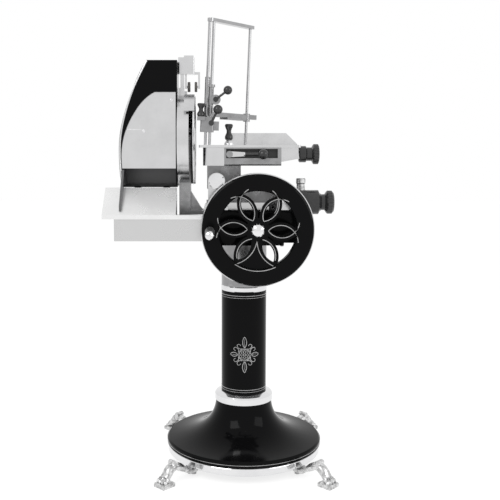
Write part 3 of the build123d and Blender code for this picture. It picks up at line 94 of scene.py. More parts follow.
# Column's ornament. Points are (radius, turn in degrees) round its middle, thin lines are shares of its line.
DAISY_RINGS = ((17 * MM, 1.0), (20 * MM, 0.6))      # radius, share of the line width
DAISY_PETAL = (3 * MM, 14 * MM)
DAISY_BULGE = 3.2 * MM
DAISY_LINE = 0.7
LEAF_ROOT_R = 22 * MM
LEAF_TIP_R = (44 * MM, 58 * MM)     # leaves at the sides, leaves above and below
LEAF_BULGE = 6.5 * MM
VEIN_SHARE, VEIN_TURN, VEIN_BULGE, VEIN_LINE = 0.86, 1, 0.8 * MM, 0.6
SCROLL = ((21 * MM, 22), (38 * MM, 38), (31 * MM, 24))      # root, bend and curled end
SCROLL_BULGE, CURL_BULGE, CURL_LINE = 5 * MM, 4.6 * MM, 0.8

# Where a CAD part changes its finish.
EDGE_R = 165.3 * MM                 # beyond this the wheel's rim is bare steel
# Below this height the tray's upright skirt takes a painted shade.
SKIRT_HEIGHT = 67 * MM              # the slice tray's skirt, up to its lip
# In front of this the hood's side strip takes a grey painted sheen.
HOOD_FRONT_Y = -75.6 * MM           # the hood's side strip lies in front of this
RECESS = ((-0.400, -0.0695, 0.893), (-0.200, 0.056, 0.9475))            # two corners of the hood's recess
BED_RECESS = ((-0.0602, -0.1298, 0.9808), (0.0972, -0.1150, 1.0092))    # and of the bed's
LEVER_GRIP_X = -3 * MM              # the release lever's grip lies to the right of this

HOOD_EDGE = (   # the hood's outer front edge from the top down, as (X, Z)
    (-0.3065, 1.2800), (-0.3380, 1.2210), (-0.3610, 1.1630), (-0.3808, 1.0970), (-0.3905, 1.0420),
    (-0.3924, 0.9920), (-0.3905, 0.9420), (-0.3840, 0.8920),
)
HOOD_EDGE_Y = -75 * MM
BEAD_INSET = 0.8                    # from the edge to the bead's middle, as a share of its radius

DEFLECTOR_SCREWS = ((-0.2282, 1.1592), (-0.3151, 1.0638))   # (X, Z)
SCREW_R, SCREW_HEIGHT, SCREW_SUNK, SCREW_BEVEL = 5 * MM, 2.4 * MM, 0.1 * MM, 0.9 * MM
SCREW_SLOT = (12 * MM, 1.2 * MM, 1.1 * MM)
SCREW_SLOT_TURN = 0.5               # radians
SEAM_Z = 1.0685
SEAM_MARGINS = (12 * MM, 4 * MM)    # bare plate left and right of the seam
SEAM_THICKNESS, SEAM_WIDTH, SEAM_SUNK, SEAM_BEVEL = 0.5 * MM, 0.7 * MM, 0.2 * MM, 0.2 * MM

FOOT_TURNS = {"foot_rear_right": 45, "foot_rear_left": 135, "foot_front_left": 225, "foot_front_right": 315}
TOES = (-1.5, -0.5, 0.5, 1.5)       # places across the paw, in toe pitches
TOE_PITCH = 10.5 * MM
TOE_SET_BACK = 2 * MM               # per pitch away from the paw's middle
CLAW_PLACE = (362 * MM, 0, 14 * MM)     # middle of a claw on a foot that points to +X
CLAW_ROOT_R, CLAW_TIP_R, CLAW_BEVEL = 3.0 * MM, 0.5 * MM, 0.4 * MM
CLAW_TURN = 128                     # degrees from pointing straight up

CAMERA_PLACE = (-0.094, -2.565, 1.018)
CAMERA_SHIFT = (0.07, -0.074)
LAMPS = (   # name, setting of its power, size, place, point it is aimed at
    ("Key", "key", 1.8, (-1.9, -2.4, 2.9), (0, 0, 0.8)),
    ("Fill", "fill", 1.6, (2.4, -1.6, 1.8), (0, 0, 0.7)),
)
FLOOR_SIZE = 24
FLOOR_GLOW = 1.3                    # strength of the white that only the camera and reflections see
FLOOR_GLOW_SHARE = 0.62             # the rest is the lit floor, which keeps the shadow

SMOOTH_ANGLE = math.radians(40)
MIX_FACTOR = 0                      # sockets of a Mix node: factor, then both inputs and the output by kind
MIX_COLOUR = (6, 7, 2)
MIX_FLOAT = (2, 3, 0)


# ---- settings a user would change -------------------------------------------------------------
def colour(name, description, default):
    return bpy.props.FloatVectorProperty(
        name=name, description=description, default=default, subtype="COLOR", size=3, min=0, max=1)


def length(name, description, default):
    return bpy.props.FloatProperty(
        name=name, description=description, default=default, subtype="DISTANCE", unit="LENGTH", min=0)


class SlicerFinishes(bpy.types.PropertyGroup):
    enamel: colour("Enamel", "Black enamel of wheel, hood, column and bell", (0.004, 0.004, 0.0044))
    grey: colour("Grey", "Metallic grey of head, saddle, bed and press", (0.34, 0.34, 0.345))
    # Steel grey of the recess below the deflector, and a painted sheen on the hood's side strip that stands
    # for the highlight along its edge.
    shade: colour("Shade", "Recess below the deflector and the hood's side strip", (0.15, 0.15, 0.152))
    chrome: colour("Chrome", "Plated rings, caps and screws", (0.76, 0.76, 0.765))
    steel: colour("Polished steel", "Knife, table and covers", (0.64, 0.64, 0.645))
    sheet: colour("Sheet", "Stainless slice tray", (0.84, 0.84, 0.84))
    # Painted shade: the tray's upright skirt is the same stainless sheet as its top, drawn darker.
    skirt: colour("Skirt", "Skirt below the slice tray's lip", (0.60, 0.60, 0.60))
    machined: colour("Machined steel", "Shafts, gears and bolts", (0.36, 0.36, 0.365))
    bronze: colour("Bronze", "Bushes", (0.52, 0.33, 0.16))
    plastic: colour("Black plastic", "Knobs, balls and blocks", (0.022, 0.022, 0.0225))
    rod: colour("Rod", "Press rods and their top bar", (0.42, 0.42, 0.425))
    grip: colour("Grip", "Crank handle's grip", (0.055, 0.055, 0.056))
    casting: colour("Cast aluminium", "Paw feet", (0.74, 0.74, 0.74))
    # Painted shade that stands for the dark hollows of the paw feet; the marks' noise scatters it over the
    # paws.
    crevice: colour("Hollow Shade", "Darkened hollows of the castings", (0.30, 0.30, 0.30))
    stone: colour("Stone", "Sharpening stones", (0.20, 0.19, 0.18))
    stripe: colour("Stripe", "Silver pinstripes and ornament", (0.33, 0.33, 0.33))


class SlicerTrim(bpy.types.PropertyGroup):
    stripe_width: length("Stripe width", "Width of the wheel's pinstripes", 2.1 * MM)
    stripe_thickness: length("Stripe thickness", "Thickness of a pinstripe", 0.6 * MM)
    ornament_z: length("Ornament height", "Height of the column's ornament above the floor", 0.356)
    ornament_line: length("Ornament line", "Line width of the column's ornament", 1.8 * MM)
    bead_radius: length("Bead radius", "Radius of the hood's edge bead", 2.8 * MM)
    claw_length: length("Claw length", "Length of a paw's claw", 10 * MM)


class SlicerStage(bpy.types.PropertyGroup):
    floor: colour("Floor", "Floor and backdrop", (0.90, 0.90, 0.90))
    lens: bpy.props.FloatProperty(
        name="Lens", description="Focal length in millimetres", default=57.5, min=20, max=200)
    pitch: bpy.props.FloatProperty(
        name="Pitch", description="How far the camera looks down", default=math.radians(4.8),
        subtype="ANGLE", unit="ROTATION")
    key: bpy.props.FloatProperty(
        name="Key light", description="Power of the large lamp in watts", default=42, min=0)
    fill: bpy.props.FloatProperty(
        name="Fill light", description="Power of the side lamp in watts", default=20, min=0)
    sky: bpy.props.FloatProperty(
        name="Sky", description="Strength of the studio's soft light all round", default=0.62, min=0)


# ---- modelling helpers ------------------------------------------------------------------------
def deselect():
    bpy.ops.object.select_all(action="DESELECT")


def pick(*pieces):
    """Select these pieces alone, with the first one active."""
    deselect()
    for piece in pieces:
        piece.select_set(True)
    bpy.context.view_layer.objects.active = pieces[0]


def settle(piece):
    """Put a piece's place into its mesh, its object at the origin."""
    pick(piece)
    bpy.ops.object.transform_apply(location=True, rotation=True, scale=True)
    return piece


def joined(pieces):
    """One object of several."""
    pick(*pieces)
    if len(pieces) > 1:
        bpy.ops.object.join()
    return pieces[0]


def copied(piece, offset):
    """Copy of a piece with its own mesh, moved by the offset."""
    pick(piece)
    bpy.ops.object.duplicate()
    copy = bpy.context.object
    copy.location = offset
    return settle(copy)


def modify(piece, kind, **values):
    """Add a modifier with its values and apply it."""
    modifier = piece.modifiers.new(kind.title(), kind)
    for key, value in values.items():
        setattr(modifier, key, value)
    bpy.context.view_layer.objects.active = piece
    bpy.ops.object.modifier_apply(modifier=modifier.name)
    return piece


def choose(piece, test):
    """Select the vertices whose place passes the test, ready for edit mode."""
    for polygon in piece.data.polygons:
        polygon.select = False
    for edge in piece.data.edges:
        edge.select = False
    for vertex in piece.data.vertices:
        vertex.select = test(vertex.co)


def outward(piece):
    """Merge doubles and turn all faces outwards."""
    bpy.context.view_layer.objects.active = piece
    bpy.ops.object.mode_set(mode="EDIT")
    bpy.ops.mesh.select_all(action="SELECT")
    bpy.ops.mesh.remove_doubles(threshold=1e-6)
    bpy.ops.mesh.normals_make_consistent(inside=False)
    bpy.ops.object.mode_set(mode="OBJECT")
    return piece


def complete(piece, name, body, finish):
    """Name a piece, give it its finish and let it ride on its body."""
    settle(piece)
    bpy.ops.object.shade_smooth_by_angle(angle=SMOOTH_ANGLE)
    piece.name = name
    piece.data.name = name
    piece.data.materials.clear()
    piece.data.materials.append(bpy.data.materials[finish])
    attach(piece, body)


def polar(radius, degrees):
    """Point in the X, Z plane, as a pair."""
    return radius * math.cos(math.radians(degrees)), radius * math.sin(math.radians(degrees))


def ribbon(start, end, bulge, width, run_on=0.0):
    """Flat ribbon along an arc in the X, Z plane from start to end, bulging to the left of its way."""
    along = Vector((end[0] - start[0], end[1] - start[1]))
    half = along.length / 2
    radius = (half * half + bulge * bulge) / (2 * abs(bulge))
    left = Vector((-along.y, along.x)).normalized()
    offset = radius - abs(bulge)
    centre = (Vector(start) + Vector(end)) / 2 - left * math.copysign(offset, bulge)
    first = math.atan2(start[1] - centre.y, start[0] - centre.x)
    turn = 2 * math.atan2(half, offset) + run_on / radius
    deselect()
    bpy.ops.mesh.primitive_plane_add(size=width, location=(radius, 0, 0), rotation=(math.pi / 2, 0, 0))
    piece = settle(bpy.context.object)
    choose(piece, lambda co: co.z < 0)
    bpy.ops.object.mode_set(mode="EDIT")
    bpy.ops.mesh.delete(type="VERT")
    bpy.ops.mesh.select_all(action="SELECT")
    bpy.ops.transform.translate(value=(0, 0, -width / 2))
    steps = max(6, round(math.degrees(turn) / 6))
    bpy.ops.mesh.spin(steps=steps, angle=math.copysign(turn, bulge), center=(0, 0, 0), axis=(0, -1, 0))
    bpy.ops.object.mode_set(mode="OBJECT")
    piece.rotation_euler = (0, -first, 0)
    piece.location = (centre.x, 0, centre.y)
    return settle(piece)


def ring(centre, radius, width):
    """Flat ring in the X, Z plane."""
    halves = []
    for side in (1, -1):
        start = (centre[0] + side * radius, centre[1])
        end = (centre[0] - side * radius, centre[1])
        halves.append(ribbon(start, end, -radius, width))
    return joined(halves)


def laid_on(piece, node, thickness):
    """Lay a flat piece that stands in front of a CAD node on that node's front."""
    modify(
        piece, "SHRINKWRAP", target=FRAME["nodes"][node], wrap_method="PROJECT", use_project_y=True,
        use_positive_direction=True, use_negative_direction=False, offset=thickness / 2)
    return modify(piece, "SOLIDIFY", thickness=thickness, offset=0)


def band(radius, z, width, thickness):
    """Narrow band round the column's axis."""
    deselect()
    bpy.ops.mesh.primitive_cylinder_add(
        vertices=96, radius=radius, depth=width, end_fill_type="NOTHING", location=(0, 0, z))
    piece = settle(bpy.context.object)
    modify(piece, "SOLIDIFY", thickness=thickness, offset=0)
    return piece


# ---- shader groups ----------------------------------------------------------------------------
def new_group(name, inputs, outputs):
    """Node group with named sockets, and its input and output nodes."""
    group = bpy.data.node_groups.new(name, "ShaderNodeTree")
    for socket, kind, default in inputs:
        made = group.interface.new_socket(socket, in_out="INPUT", socket_type=kind)
        if default is not None:
            made.default_value = default
    for socket, kind in outputs:
        group.interface.new_socket(socket, in_out="OUTPUT", socket_type=kind)
    return group, group.nodes.new("NodeGroupInput"), group.nodes.new("NodeGroupOutput")


def marks_and_shade_group():
    """Faint wipe marks and dust, and on the cast aluminium a painted shade for its hollows: a tone between
    two colours, and a roughness between two values.
    """
    group, source, out = new_group(
        "Handling Marks",
        [
            ("Vector", "NodeSocketVector", None), ("Clean Colour", "NodeSocketColor", (1, 1, 1, 1)),
            ("Dusty Colour", "NodeSocketColor", (1, 1, 1, 1)), ("Smooth", "NodeSocketFloat", 0.1),
            ("Rough", "NodeSocketFloat", 0.3), ("Scale", "NodeSocketFloat", 20.0),
        ],
        [("Colour", "NodeSocketColor"), ("Roughness", "NodeSocketFloat"), ("Height", "NodeSocketFloat")],
    )
    nodes, links = group.nodes, group.links
    cloud = nodes.new("ShaderNodeTexNoise")
    cloud.inputs["Detail"].default_value = 5
    cloud.inputs["Roughness"].default_value = 0.62
    links.new(source.outputs["Vector"], cloud.inputs["Vector"])
    links.new(source.outputs["Scale"], cloud.inputs["Scale"])
    spread = nodes.new("ShaderNodeMapRange")
    spread.inputs["From Min"].default_value = 0.38
    spread.inputs["From Max"].default_value = 0.68
    links.new(cloud.outputs["Fac"], spread.inputs["Value"])
    tone = nodes.new("ShaderNodeMix")
    tone.data_type = "RGBA"
    clean, dusty, mixed = MIX_COLOUR
    links.new(spread.outputs["Result"], tone.inputs[MIX_FACTOR])
    links.new(source.outputs["Clean Colour"], tone.inputs[clean])
    links.new(source.outputs["Dusty Colour"], tone.inputs[dusty])
    level = nodes.new("ShaderNodeMapRange")
    links.new(spread.outputs["Result"], level.inputs["Value"])
    links.new(source.outputs["Smooth"], level.inputs["To Min"])
    links.new(source.outputs["Rough"], level.inputs["To Max"])
    links.new(tone.outputs[mixed], out.inputs["Colour"])
    links.new(level.outputs["Result"], out.inputs["Roughness"])
    links.new(cloud.outputs["Fac"], out.inputs["Height"])
    return group


def grain_group():
    """Fine scratches all one way, from coordinates that are already stretched."""
    group, source, out = new_group(
        "Polishing Grain",
        [("Vector", "NodeSocketVector", None), ("Scale", "NodeSocketFloat", 400.0)],
        [("Height", "NodeSocketFloat")],
    )
    nodes, links = group.nodes, group.links
    scratches = nodes.new("ShaderNodeTexNoise")
    scratches.inputs["Detail"].default_value = 3
    links.new(source.outputs["Vector"], scratches.inputs["Vector"])
    links.new(source.outputs["Scale"], scratches.inputs["Scale"])
    links.new(scratches.outputs["Fac"], out.inputs["Height"])
    return group


def tree_of(owner):
    """Nodes and links of a material or a world."""
    owner.use_nodes = True
    return owner.node_tree.nodes, owner.node_tree.links


def paint(name, clean, dusty, smooth, rough, scale=18.0, metallic=0.0, shine=0.5, grain=None, bump=0.0):
    """Material of one finish: handling marks all over, with painted hollow shade among them on the cast
    aluminium, and polishing grain where a stretch is given.
    """
    material = bpy.data.materials.new(name)
    nodes, links = tree_of(material)
    material.diffuse_color = (*clean, 1)
    shader = nodes["Principled BSDF"]
    shader.inputs["Metallic"].default_value = metallic
    shader.inputs["Specular IOR Level"].default_value = shine
    place = nodes.new("ShaderNodeTexCoord")
    marks = nodes.new("ShaderNodeGroup")
    marks.node_tree = bpy.data.node_groups["Handling Marks"]
    for socket, value in (
        ("Clean Colour", (*clean, 1)), ("Dusty Colour", (*dusty, 1)),
        ("Smooth", smooth), ("Rough", rough), ("Scale", scale),
    ):
        marks.inputs[socket].default_value = value
    links.new(place.outputs["Object"], marks.inputs["Vector"])
    links.new(marks.outputs["Colour"], shader.inputs["Base Color"])
    links.new(marks.outputs["Roughness"], shader.inputs["Roughness"])
    height = marks.outputs["Height"]
    if grain is not None:
        stretch = nodes.new("ShaderNodeMapping")
        stretch.inputs["Scale"].default_value = grain
        lines = nodes.new("ShaderNodeGroup")
        lines.node_tree = bpy.data.node_groups["Polishing Grain"]
        links.new(place.outputs["Object"], stretch.inputs["Vector"])
        links.new(stretch.outputs["Vector"], lines.inputs["Vector"])
        height = lines.outputs["Height"]
    if bump:
        relief = nodes.new("ShaderNodeBump")
        relief.inputs["Strength"].default_value = bump
        relief.inputs["Distance"].default_value = 0.2 * MM
        links.new(height, relief.inputs["Height"])
        links.new(relief.outputs["Normal"], shader.inputs["Normal"])
    return material


def within(nodes, links, low, high):
    """1 inside the box between two corners, 0 outside; None leaves a side open."""
    place = nodes.new("ShaderNodeTexCoord")
    split = nodes.new("ShaderNodeSeparateXYZ")
    links.new(place.outputs["Object"], split.inputs[0])
    mask = None
    for axis in range(3):
        for limit, operation in ((low[axis], "GREATER_THAN"), (high[axis], "LESS_THAN")):
            if limit is None:
                continue
            test = nodes.new("ShaderNodeMath")
            test.operation = operation
            test.inputs[1].default_value = limit
            links.new(split.outputs[axis], test.inputs[0])
            mask = both(nodes, links, mask, test.outputs[0])
    return mask


def both(nodes, links, first, second):
    """Product of two masks; the first may be missing."""
    if first is None:
        return second
    product = nodes.new("ShaderNodeMath")
    product.operation = "MULTIPLY"
    links.new(first, product.inputs[0])
    links.new(second, product.inputs[1])
    return product.outputs[0]


def beyond(nodes, links, centre, radius):
    """1 farther than the radius from the line along Y through the centre."""
    place = nodes.new("ShaderNodeTexCoord")
    offset = nodes.new("ShaderNodeVectorMath")
    offset.operation = "SUBTRACT"
    offset.inputs[1].default_value = centre
    flat = nodes.new("ShaderNodeVectorMath")
    flat.operation = "MULTIPLY"
    flat.inputs[1].default_value = (1, 0, 1)
    reach = nodes.new("ShaderNodeVectorMath")
    reach.operation = "LENGTH"
    test = nodes.new("ShaderNodeMath")
    test.operation = "GREATER_THAN"
    test.inputs[1].default_value = radius
    links.new(place.outputs["Object"], offset.inputs[0])
    links.new(offset.outputs[0], flat.inputs[0])
    links.new(flat.outputs[0], reach.inputs[0])
    links.new(reach.outputs["Value"], test.inputs[0])
    return test.outputs[0]


def patched(name, base, tone, mask_of, roughness=None, metallic=None):
    """Copy of a finish that takes another colour where the mask is 1."""
    material = bpy.data.materials[base].copy()
    material.name = name
    nodes, links = material.node_tree.nodes, material.node_tree.links
    shader = nodes["Principled BSDF"]
    mask = mask_of(nodes, links)
    for socket, value in (("Base Color", (*tone, 1)), ("Roughness", roughness), ("Metallic", metallic)):
        if value is None:
            continue
        target = shader.inputs[socket]
        mix = nodes.new("ShaderNodeMix")
        mix.data_type, sockets = ("RGBA", MIX_COLOUR) if socket == "Base Color" else ("FLOAT", MIX_FLOAT)
        first, second, out = sockets
        if target.links:
            links.new(target.links[0].from_socket, mix.inputs[first])
        else:
            mix.inputs[first].default_value = target.default_value
        mix.inputs[second].default_value = value
        links.new(mask, mix.inputs[MIX_FACTOR])
        links.new(mix.outputs[out], target)
    return material


# Finishes: clean colour and dust colour, each a setting's name or a tone, and the rest of paint()'s values.
# The cast aluminium's dust colour is painted shade.
FINISHES = {
    "Gloss Black Enamel": ("enamel", (0.004, 0.004, 0.0042), dict(
        smooth=0.09, rough=0.15, scale=9, shine=0.06)),
    "Metallic Grey": ("grey", (0.27, 0.27, 0.272), dict(smooth=0.26, rough=0.36, scale=30, metallic=0.9)),
    "Chrome Plate": ("chrome", (0.70, 0.70, 0.71), dict(smooth=0.05, rough=0.11, scale=14, metallic=1)),
    "Polished Steel": ("steel", (0.58, 0.58, 0.585), dict(
        smooth=0.16, rough=0.26, scale=12, metallic=1, grain=(0.15, 1, 1), bump=0.05)),
    "Stainless Sheet": ("sheet", (0.78, 0.78, 0.78), dict(
        smooth=0.24, rough=0.34, scale=10, metallic=1, grain=(0.05, 1, 1), bump=0.10)),
    "Rod Steel": ("rod", (0.36, 0.36, 0.365), dict(smooth=0.10, rough=0.18, scale=25, metallic=1)),
    "Grey Grip": ("grip", (0.07, 0.07, 0.071), dict(smooth=0.30, rough=0.42, scale=40)),
    "Machined Steel": ("machined", (0.26, 0.26, 0.262), dict(
        smooth=0.30, rough=0.45, scale=40, metallic=1, grain=(1, 0.2, 1), bump=0.08)),
    "Bronze": ("bronze", (0.34, 0.21, 0.10), dict(smooth=0.30, rough=0.45, scale=40, metallic=1)),
    "Black Plastic": ("plastic", (0.034, 0.034, 0.0345), dict(smooth=0.18, rough=0.28, scale=30)),
    "Black Block": ("plastic", (0.040, 0.040, 0.0405), dict(smooth=0.28, rough=0.40, scale=60, bump=0.05)),
    # Painted shade: the paws' second colour stands for the dark hollows of the casting, scattered by noise.
    "Cast Aluminium": ("casting", "crevice", dict(smooth=0.18, rough=0.42, scale=85, metallic=1, bump=0.35)),
    "Sharpening Stone": ("stone", (0.13, 0.125, 0.12), dict(smooth=0.75, rough=0.95, scale=600, bump=0.5)),
    "Silver Pinstripe": ("stripe", (0.52, 0.52, 0.52), dict(smooth=0.22, rough=0.32, scale=50, metallic=0.6)),
}

SLOTS = {   # the frame's material slot of each finish; a slot's first finish is the one its CAD parts wear
    "Gloss Black Enamel": "black_enamel",
    "Metallic Grey": "grey_metallic",
    "Chrome Plate": "chrome",
    "Polished Steel": "polished_steel",
    "Stainless Sheet": "stainless_sheet",
    "Machined Steel": "steel",
    "Bronze": "bronze",
    "Black Plastic": "black_gloss_plastic",
    "Black Block": "black_block",
    "Cast Aluminium": "cast_aluminium",
    "Sharpening Stone": "abrasive",
    "Silver Pinstripe": "chrome",
}

OWN_FINISHES = {    # CAD parts whose finish isn't their slot's
    "slice_tray": "Tray Skirt", "flywheel": "Wheel Enamel", "knife_hood": "Hood Strip",
    "carriage_bed": "Bed Grey", "release_lever": "Lever Steel", "handle_pin": "Chrome Plate",
    "handle_grip": "Grey Grip", "press_head": "Metallic Grey", "press_columns": "Rod Steel",
    "top_bar": "Rod Steel",
}


class SLICER_OT_finishes(bpy.types.Operator):
    """Make the finishes and give each CAD part its own"""

    bl_idname = "slicer.finishes"
    bl_label = "Finishes"

    def execute(self, context):
        settings = context.scene.slicer_finishes

        def tone(value):
            return tuple(getattr(settings, value)) if isinstance(value, str) else value

        marks_and_shade_group()
        grain_group()
        for name, (clean, dusty, look) in FINISHES.items():
            paint(name, tone(clean), tone(dusty), **look)
        self.patch(tone)
        finish_of = {slot: name for name, slot in reversed(SLOTS.items())}
        for part in FRAME["record"]["subparts"]:
            finish = OWN_FINISHES.get(part["node"], finish_of[part["material_slot"]])
            mesh = FRAME["nodes"][part["node"]].data
            mesh.materials.clear()
            mesh.materials.append(bpy.data.materials[finish])
        return {"FINISHED"}

    @staticmethod
    def patch(tone):
        """Finishes that change their colour at a place on the part, a painted shade on the tray's skirt and a
        painted sheen on the hood's side strip among them.
        """
        anywhere = (None,) * 3
        lip_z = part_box("slice_tray")[0].z + SKIRT_HEIGHT
        # Painted shade on the tray's upright skirt below its lip; the sheet is the same as the tray's top.
        patched("Tray Skirt", "Stainless Sheet", tone("skirt"),
                lambda nodes, links: within(nodes, links, anywhere, (None, None, lip_z)))
        patched("Wheel Enamel", "Gloss Black Enamel", tone("steel"),
                lambda nodes, links: beyond(nodes, links, WHEEL, EDGE_R), roughness=0.2, metallic=1)
        patched("Hood Enamel", "Gloss Black Enamel", tone("shade"),
                lambda nodes, links: within(nodes, links, *RECESS), roughness=0.35, metallic=0.6)
        # Painted sheen: the hood's side strip takes a grey that stands for the highlight along its edge.
        patched("Hood Strip", "Hood Enamel", tone("shade"),
                lambda nodes, links: within(nodes, links, anywhere, (None, HOOD_FRONT_Y, None)),
                roughness=0.3, metallic=0.6)
        patched("Bed Grey", "Metallic Grey", tone("plastic"),
                lambda nodes, links: within(nodes, links, *BED_RECESS), roughness=0.4, metallic=0)
        patched("Lever Steel", "Polished Steel", tone("plastic"),
                lambda nodes, links: within(nodes, links, (LEVER_GRIP_X, None, None), anywhere),
                roughness=0.25, metallic=0)


class SLICER_OT_wheel_stripes(bpy.types.Operator):
    """Silver pinstripes round the flywheel's petals and its solid sector"""

    bl_idname = "slicer.wheel_stripes"
    bl_label = "Wheel pinstripes"

    def execute(self, context):
        trim = context.scene.slicer_trim
        width = trim.stripe_width
        inner, outer = PETAL_TIPS
        stripes = []
        for i in range(6):
            turn = PETAL_TURN + 60 * i
            start, end = polar(inner, turn), polar(outer, turn)
            run_on = HALF_PETAL_RUN_ON if i in HALF_PETALS else PETAL_RUN_ON
            for side in HALF_PETALS.get(i, (1, -1)):
                stripes.append(ribbon(start, end, side * PETAL_BULGE, width, run_on))
        tip = polar(SECTOR_TIP_R, SECTOR_TURN)
        for side in (1, -1):
            corner = polar(SECTOR_BASE_R, SECTOR_TURN + side * SECTOR_HALF)
            stripes.append(ribbon(tip, corner, -side * SECTOR_BULGE, width))
        low = polar(SECTOR_BASE_R, SECTOR_TURN - SECTOR_HALF)
        high = polar(SECTOR_BASE_R, SECTOR_TURN + SECTOR_HALF)
        sagitta = SECTOR_BASE_R * (1 - math.cos(math.radians(SECTOR_HALF)))
        stripes.append(ribbon(low, high, -sagitta, width))
        piece = joined(stripes)
        piece.location = (WHEEL.x, front("flywheel") - STANDOFF, WHEEL.z)
        laid_on(settle(piece), "flywheel", trim.stripe_thickness)
        complete(outward(piece), "wheel_pinstripes", "wheel", "Silver Pinstripe")
        return {"FINISHED"}


class SLICER_OT_column_lines(bpy.types.Operator):
    """Silver lines round the column and the bell"""

    bl_idname = "slicer.column_lines"
    bl_label = "Column and bell lines"

    def execute(self, context):
        thickness = context.scene.slicer_trim.stripe_thickness
        bell_rise, bell_width = BELL_LINE
        lines = [band(COLUMN_R, COLUMN_HIGH.z - drop, width, thickness) for drop, width in LINES_BELOW_TOP]
        lines += [band(COLUMN_R, COLUMN_LOW.z + rise, width, thickness) for rise, width in LINES_ABOVE_FOOT]
        lines.append(band(BELL_R, BELL_LOW.z + bell_rise, bell_width, thickness))
        complete(outward(joined(lines)), "column_pinstripes", "stand", "Silver Pinstripe")
        return {"FINISHED"}


class SLICER_OT_column_ornament(bpy.types.Operator):
    """Painted ornament on the column: a daisy in a ring, four leaves and eight scrolls"""

    bl_idname = "slicer.column_ornament"
    bl_label = "Column ornament"

    def execute(self, context):
        trim = context.scene.slicer_trim
        line = trim.ornament_line
        strokes = [ring((0, 0), radius, line * share) for radius, share in DAISY_RINGS]
        for i in range(8):
            start, end = (polar(radius, 45 * i) for radius in DAISY_PETAL)
            for side in (1, -1):
                strokes.append(ribbon(start, end, side * DAISY_BULGE, line * DAISY_LINE))
        for i in range(4):
            turn = 90 * i
            tip = LEAF_TIP_R[i % 2]
            start, end = polar(LEAF_ROOT_R, turn), polar(tip, turn)
            for side in (1, -1):
                strokes.append(ribbon(start, end, side * LEAF_BULGE, line))
            vein_end = polar(tip * VEIN_SHARE, turn + VEIN_TURN)
            strokes.append(ribbon(start, vein_end, VEIN_BULGE, line * VEIN_LINE))
            for side in (1, -1):
                root, bend, curl = (polar(radius, turn + side * angle) for radius, angle in SCROLL)
                strokes.append(ribbon(root, bend, side * SCROLL_BULGE, line))
                strokes.append(ribbon(bend, curl, side * CURL_BULGE, line * CURL_LINE))
        piece = joined(strokes)
        piece.location = (0, -COLUMN_R - STANDOFF, trim.ornament_z)
        laid_on(settle(piece), "column_tube", trim.stripe_thickness)
        complete(outward(piece), "column_ornament", "stand", "Silver Pinstripe")
        return {"FINISHED"}


class SLICER_OT_hood_bead(bpy.types.Operator):
    """Polished bead along the hood's outer front edge"""

    bl_idname = "slicer.hood_bead"
    bl_label = "Hood bead"

    def execute(self, context):
        radius = context.scene.slicer_trim.bead_radius
        deselect()
        bpy.ops.curve.primitive_nurbs_path_add()
        path = bpy.context.object
        line = path.data.splines[0]
        line.points.add(len(HOOD_EDGE) - len(line.points))
        for point, (x, z) in zip(line.points, HOOD_EDGE):
            point.co = (x + radius * BEAD_INSET, HOOD_EDGE_Y, z, 1)
        line.order_u = 3
        line.use_endpoint_u = True
        path.data.bevel_depth = radius
        path.data.bevel_resolution = 4
        path.data.use_fill_caps = True
        deselect()
        path.select_set(True)
        bpy.ops.object.convert(target="MESH")
        complete(outward(bpy.context.object), "hood_bead", "stand", "Polished Steel")
        return {"FINISHED"}


class SLICER_OT_deflector_trim(bpy.types.Operator):
    """Slotted screws and the seam on the slice deflector"""

    bl_idname = "slicer.deflector_trim"
    bl_label = "Deflector trim"

    def execute(self, context):
        face_y = DEFLECTOR_LOW.y
        top_y = face_y + SCREW_SUNK - SCREW_HEIGHT
        x, z = DEFLECTOR_SCREWS[0]
        deselect()
        bpy.ops.mesh.primitive_cylinder_add(
            vertices=32, radius=SCREW_R, depth=SCREW_HEIGHT, location=(x, top_y + SCREW_HEIGHT / 2, z),
            rotation=(math.pi / 2, 0, 0))
        screw = settle(bpy.context.object)
        choose(screw, lambda co: co.y < top_y + SCREW_HEIGHT / 2)
        bpy.ops.object.mode_set(mode="EDIT")
        bpy.ops.mesh.bevel(offset=SCREW_BEVEL, segments=3)
        bpy.ops.object.mode_set(mode="OBJECT")
        bpy.ops.mesh.primitive_cube_add(size=1, location=(x, top_y, z), rotation=(0, SCREW_SLOT_TURN, 0))
        slot = bpy.context.object
        slot.scale = SCREW_SLOT
        modify(screw, "BOOLEAN", operation="DIFFERENCE", object=settle(slot), solver="EXACT")
        bpy.data.objects.remove(slot)
        screws = [screw]
        for other_x, other_z in DEFLECTOR_SCREWS[1:]:
            screws.append(copied(screw, (other_x - x, 0, other_z - z)))
        complete(outward(joined(screws)), "deflector_screws", "stand", "Chrome Plate")
        left, right = DEFLECTOR_LOW.x + SEAM_MARGINS[0], DEFLECTOR_HIGH.x - SEAM_MARGINS[1]
        deselect()
        bpy.ops.mesh.primitive_cube_add(
            size=1, location=((left + right) / 2, face_y + SEAM_SUNK - SEAM_THICKNESS / 2, SEAM_Z))
        seam = bpy.context.object
        seam.scale = (right - left, SEAM_THICKNESS, SEAM_WIDTH)
        modify(settle(seam), "BEVEL", width=SEAM_BEVEL, segments=2)
        complete(seam, "deflector_seam", "stand", "Polished Steel")
        return {"FINISHED"}


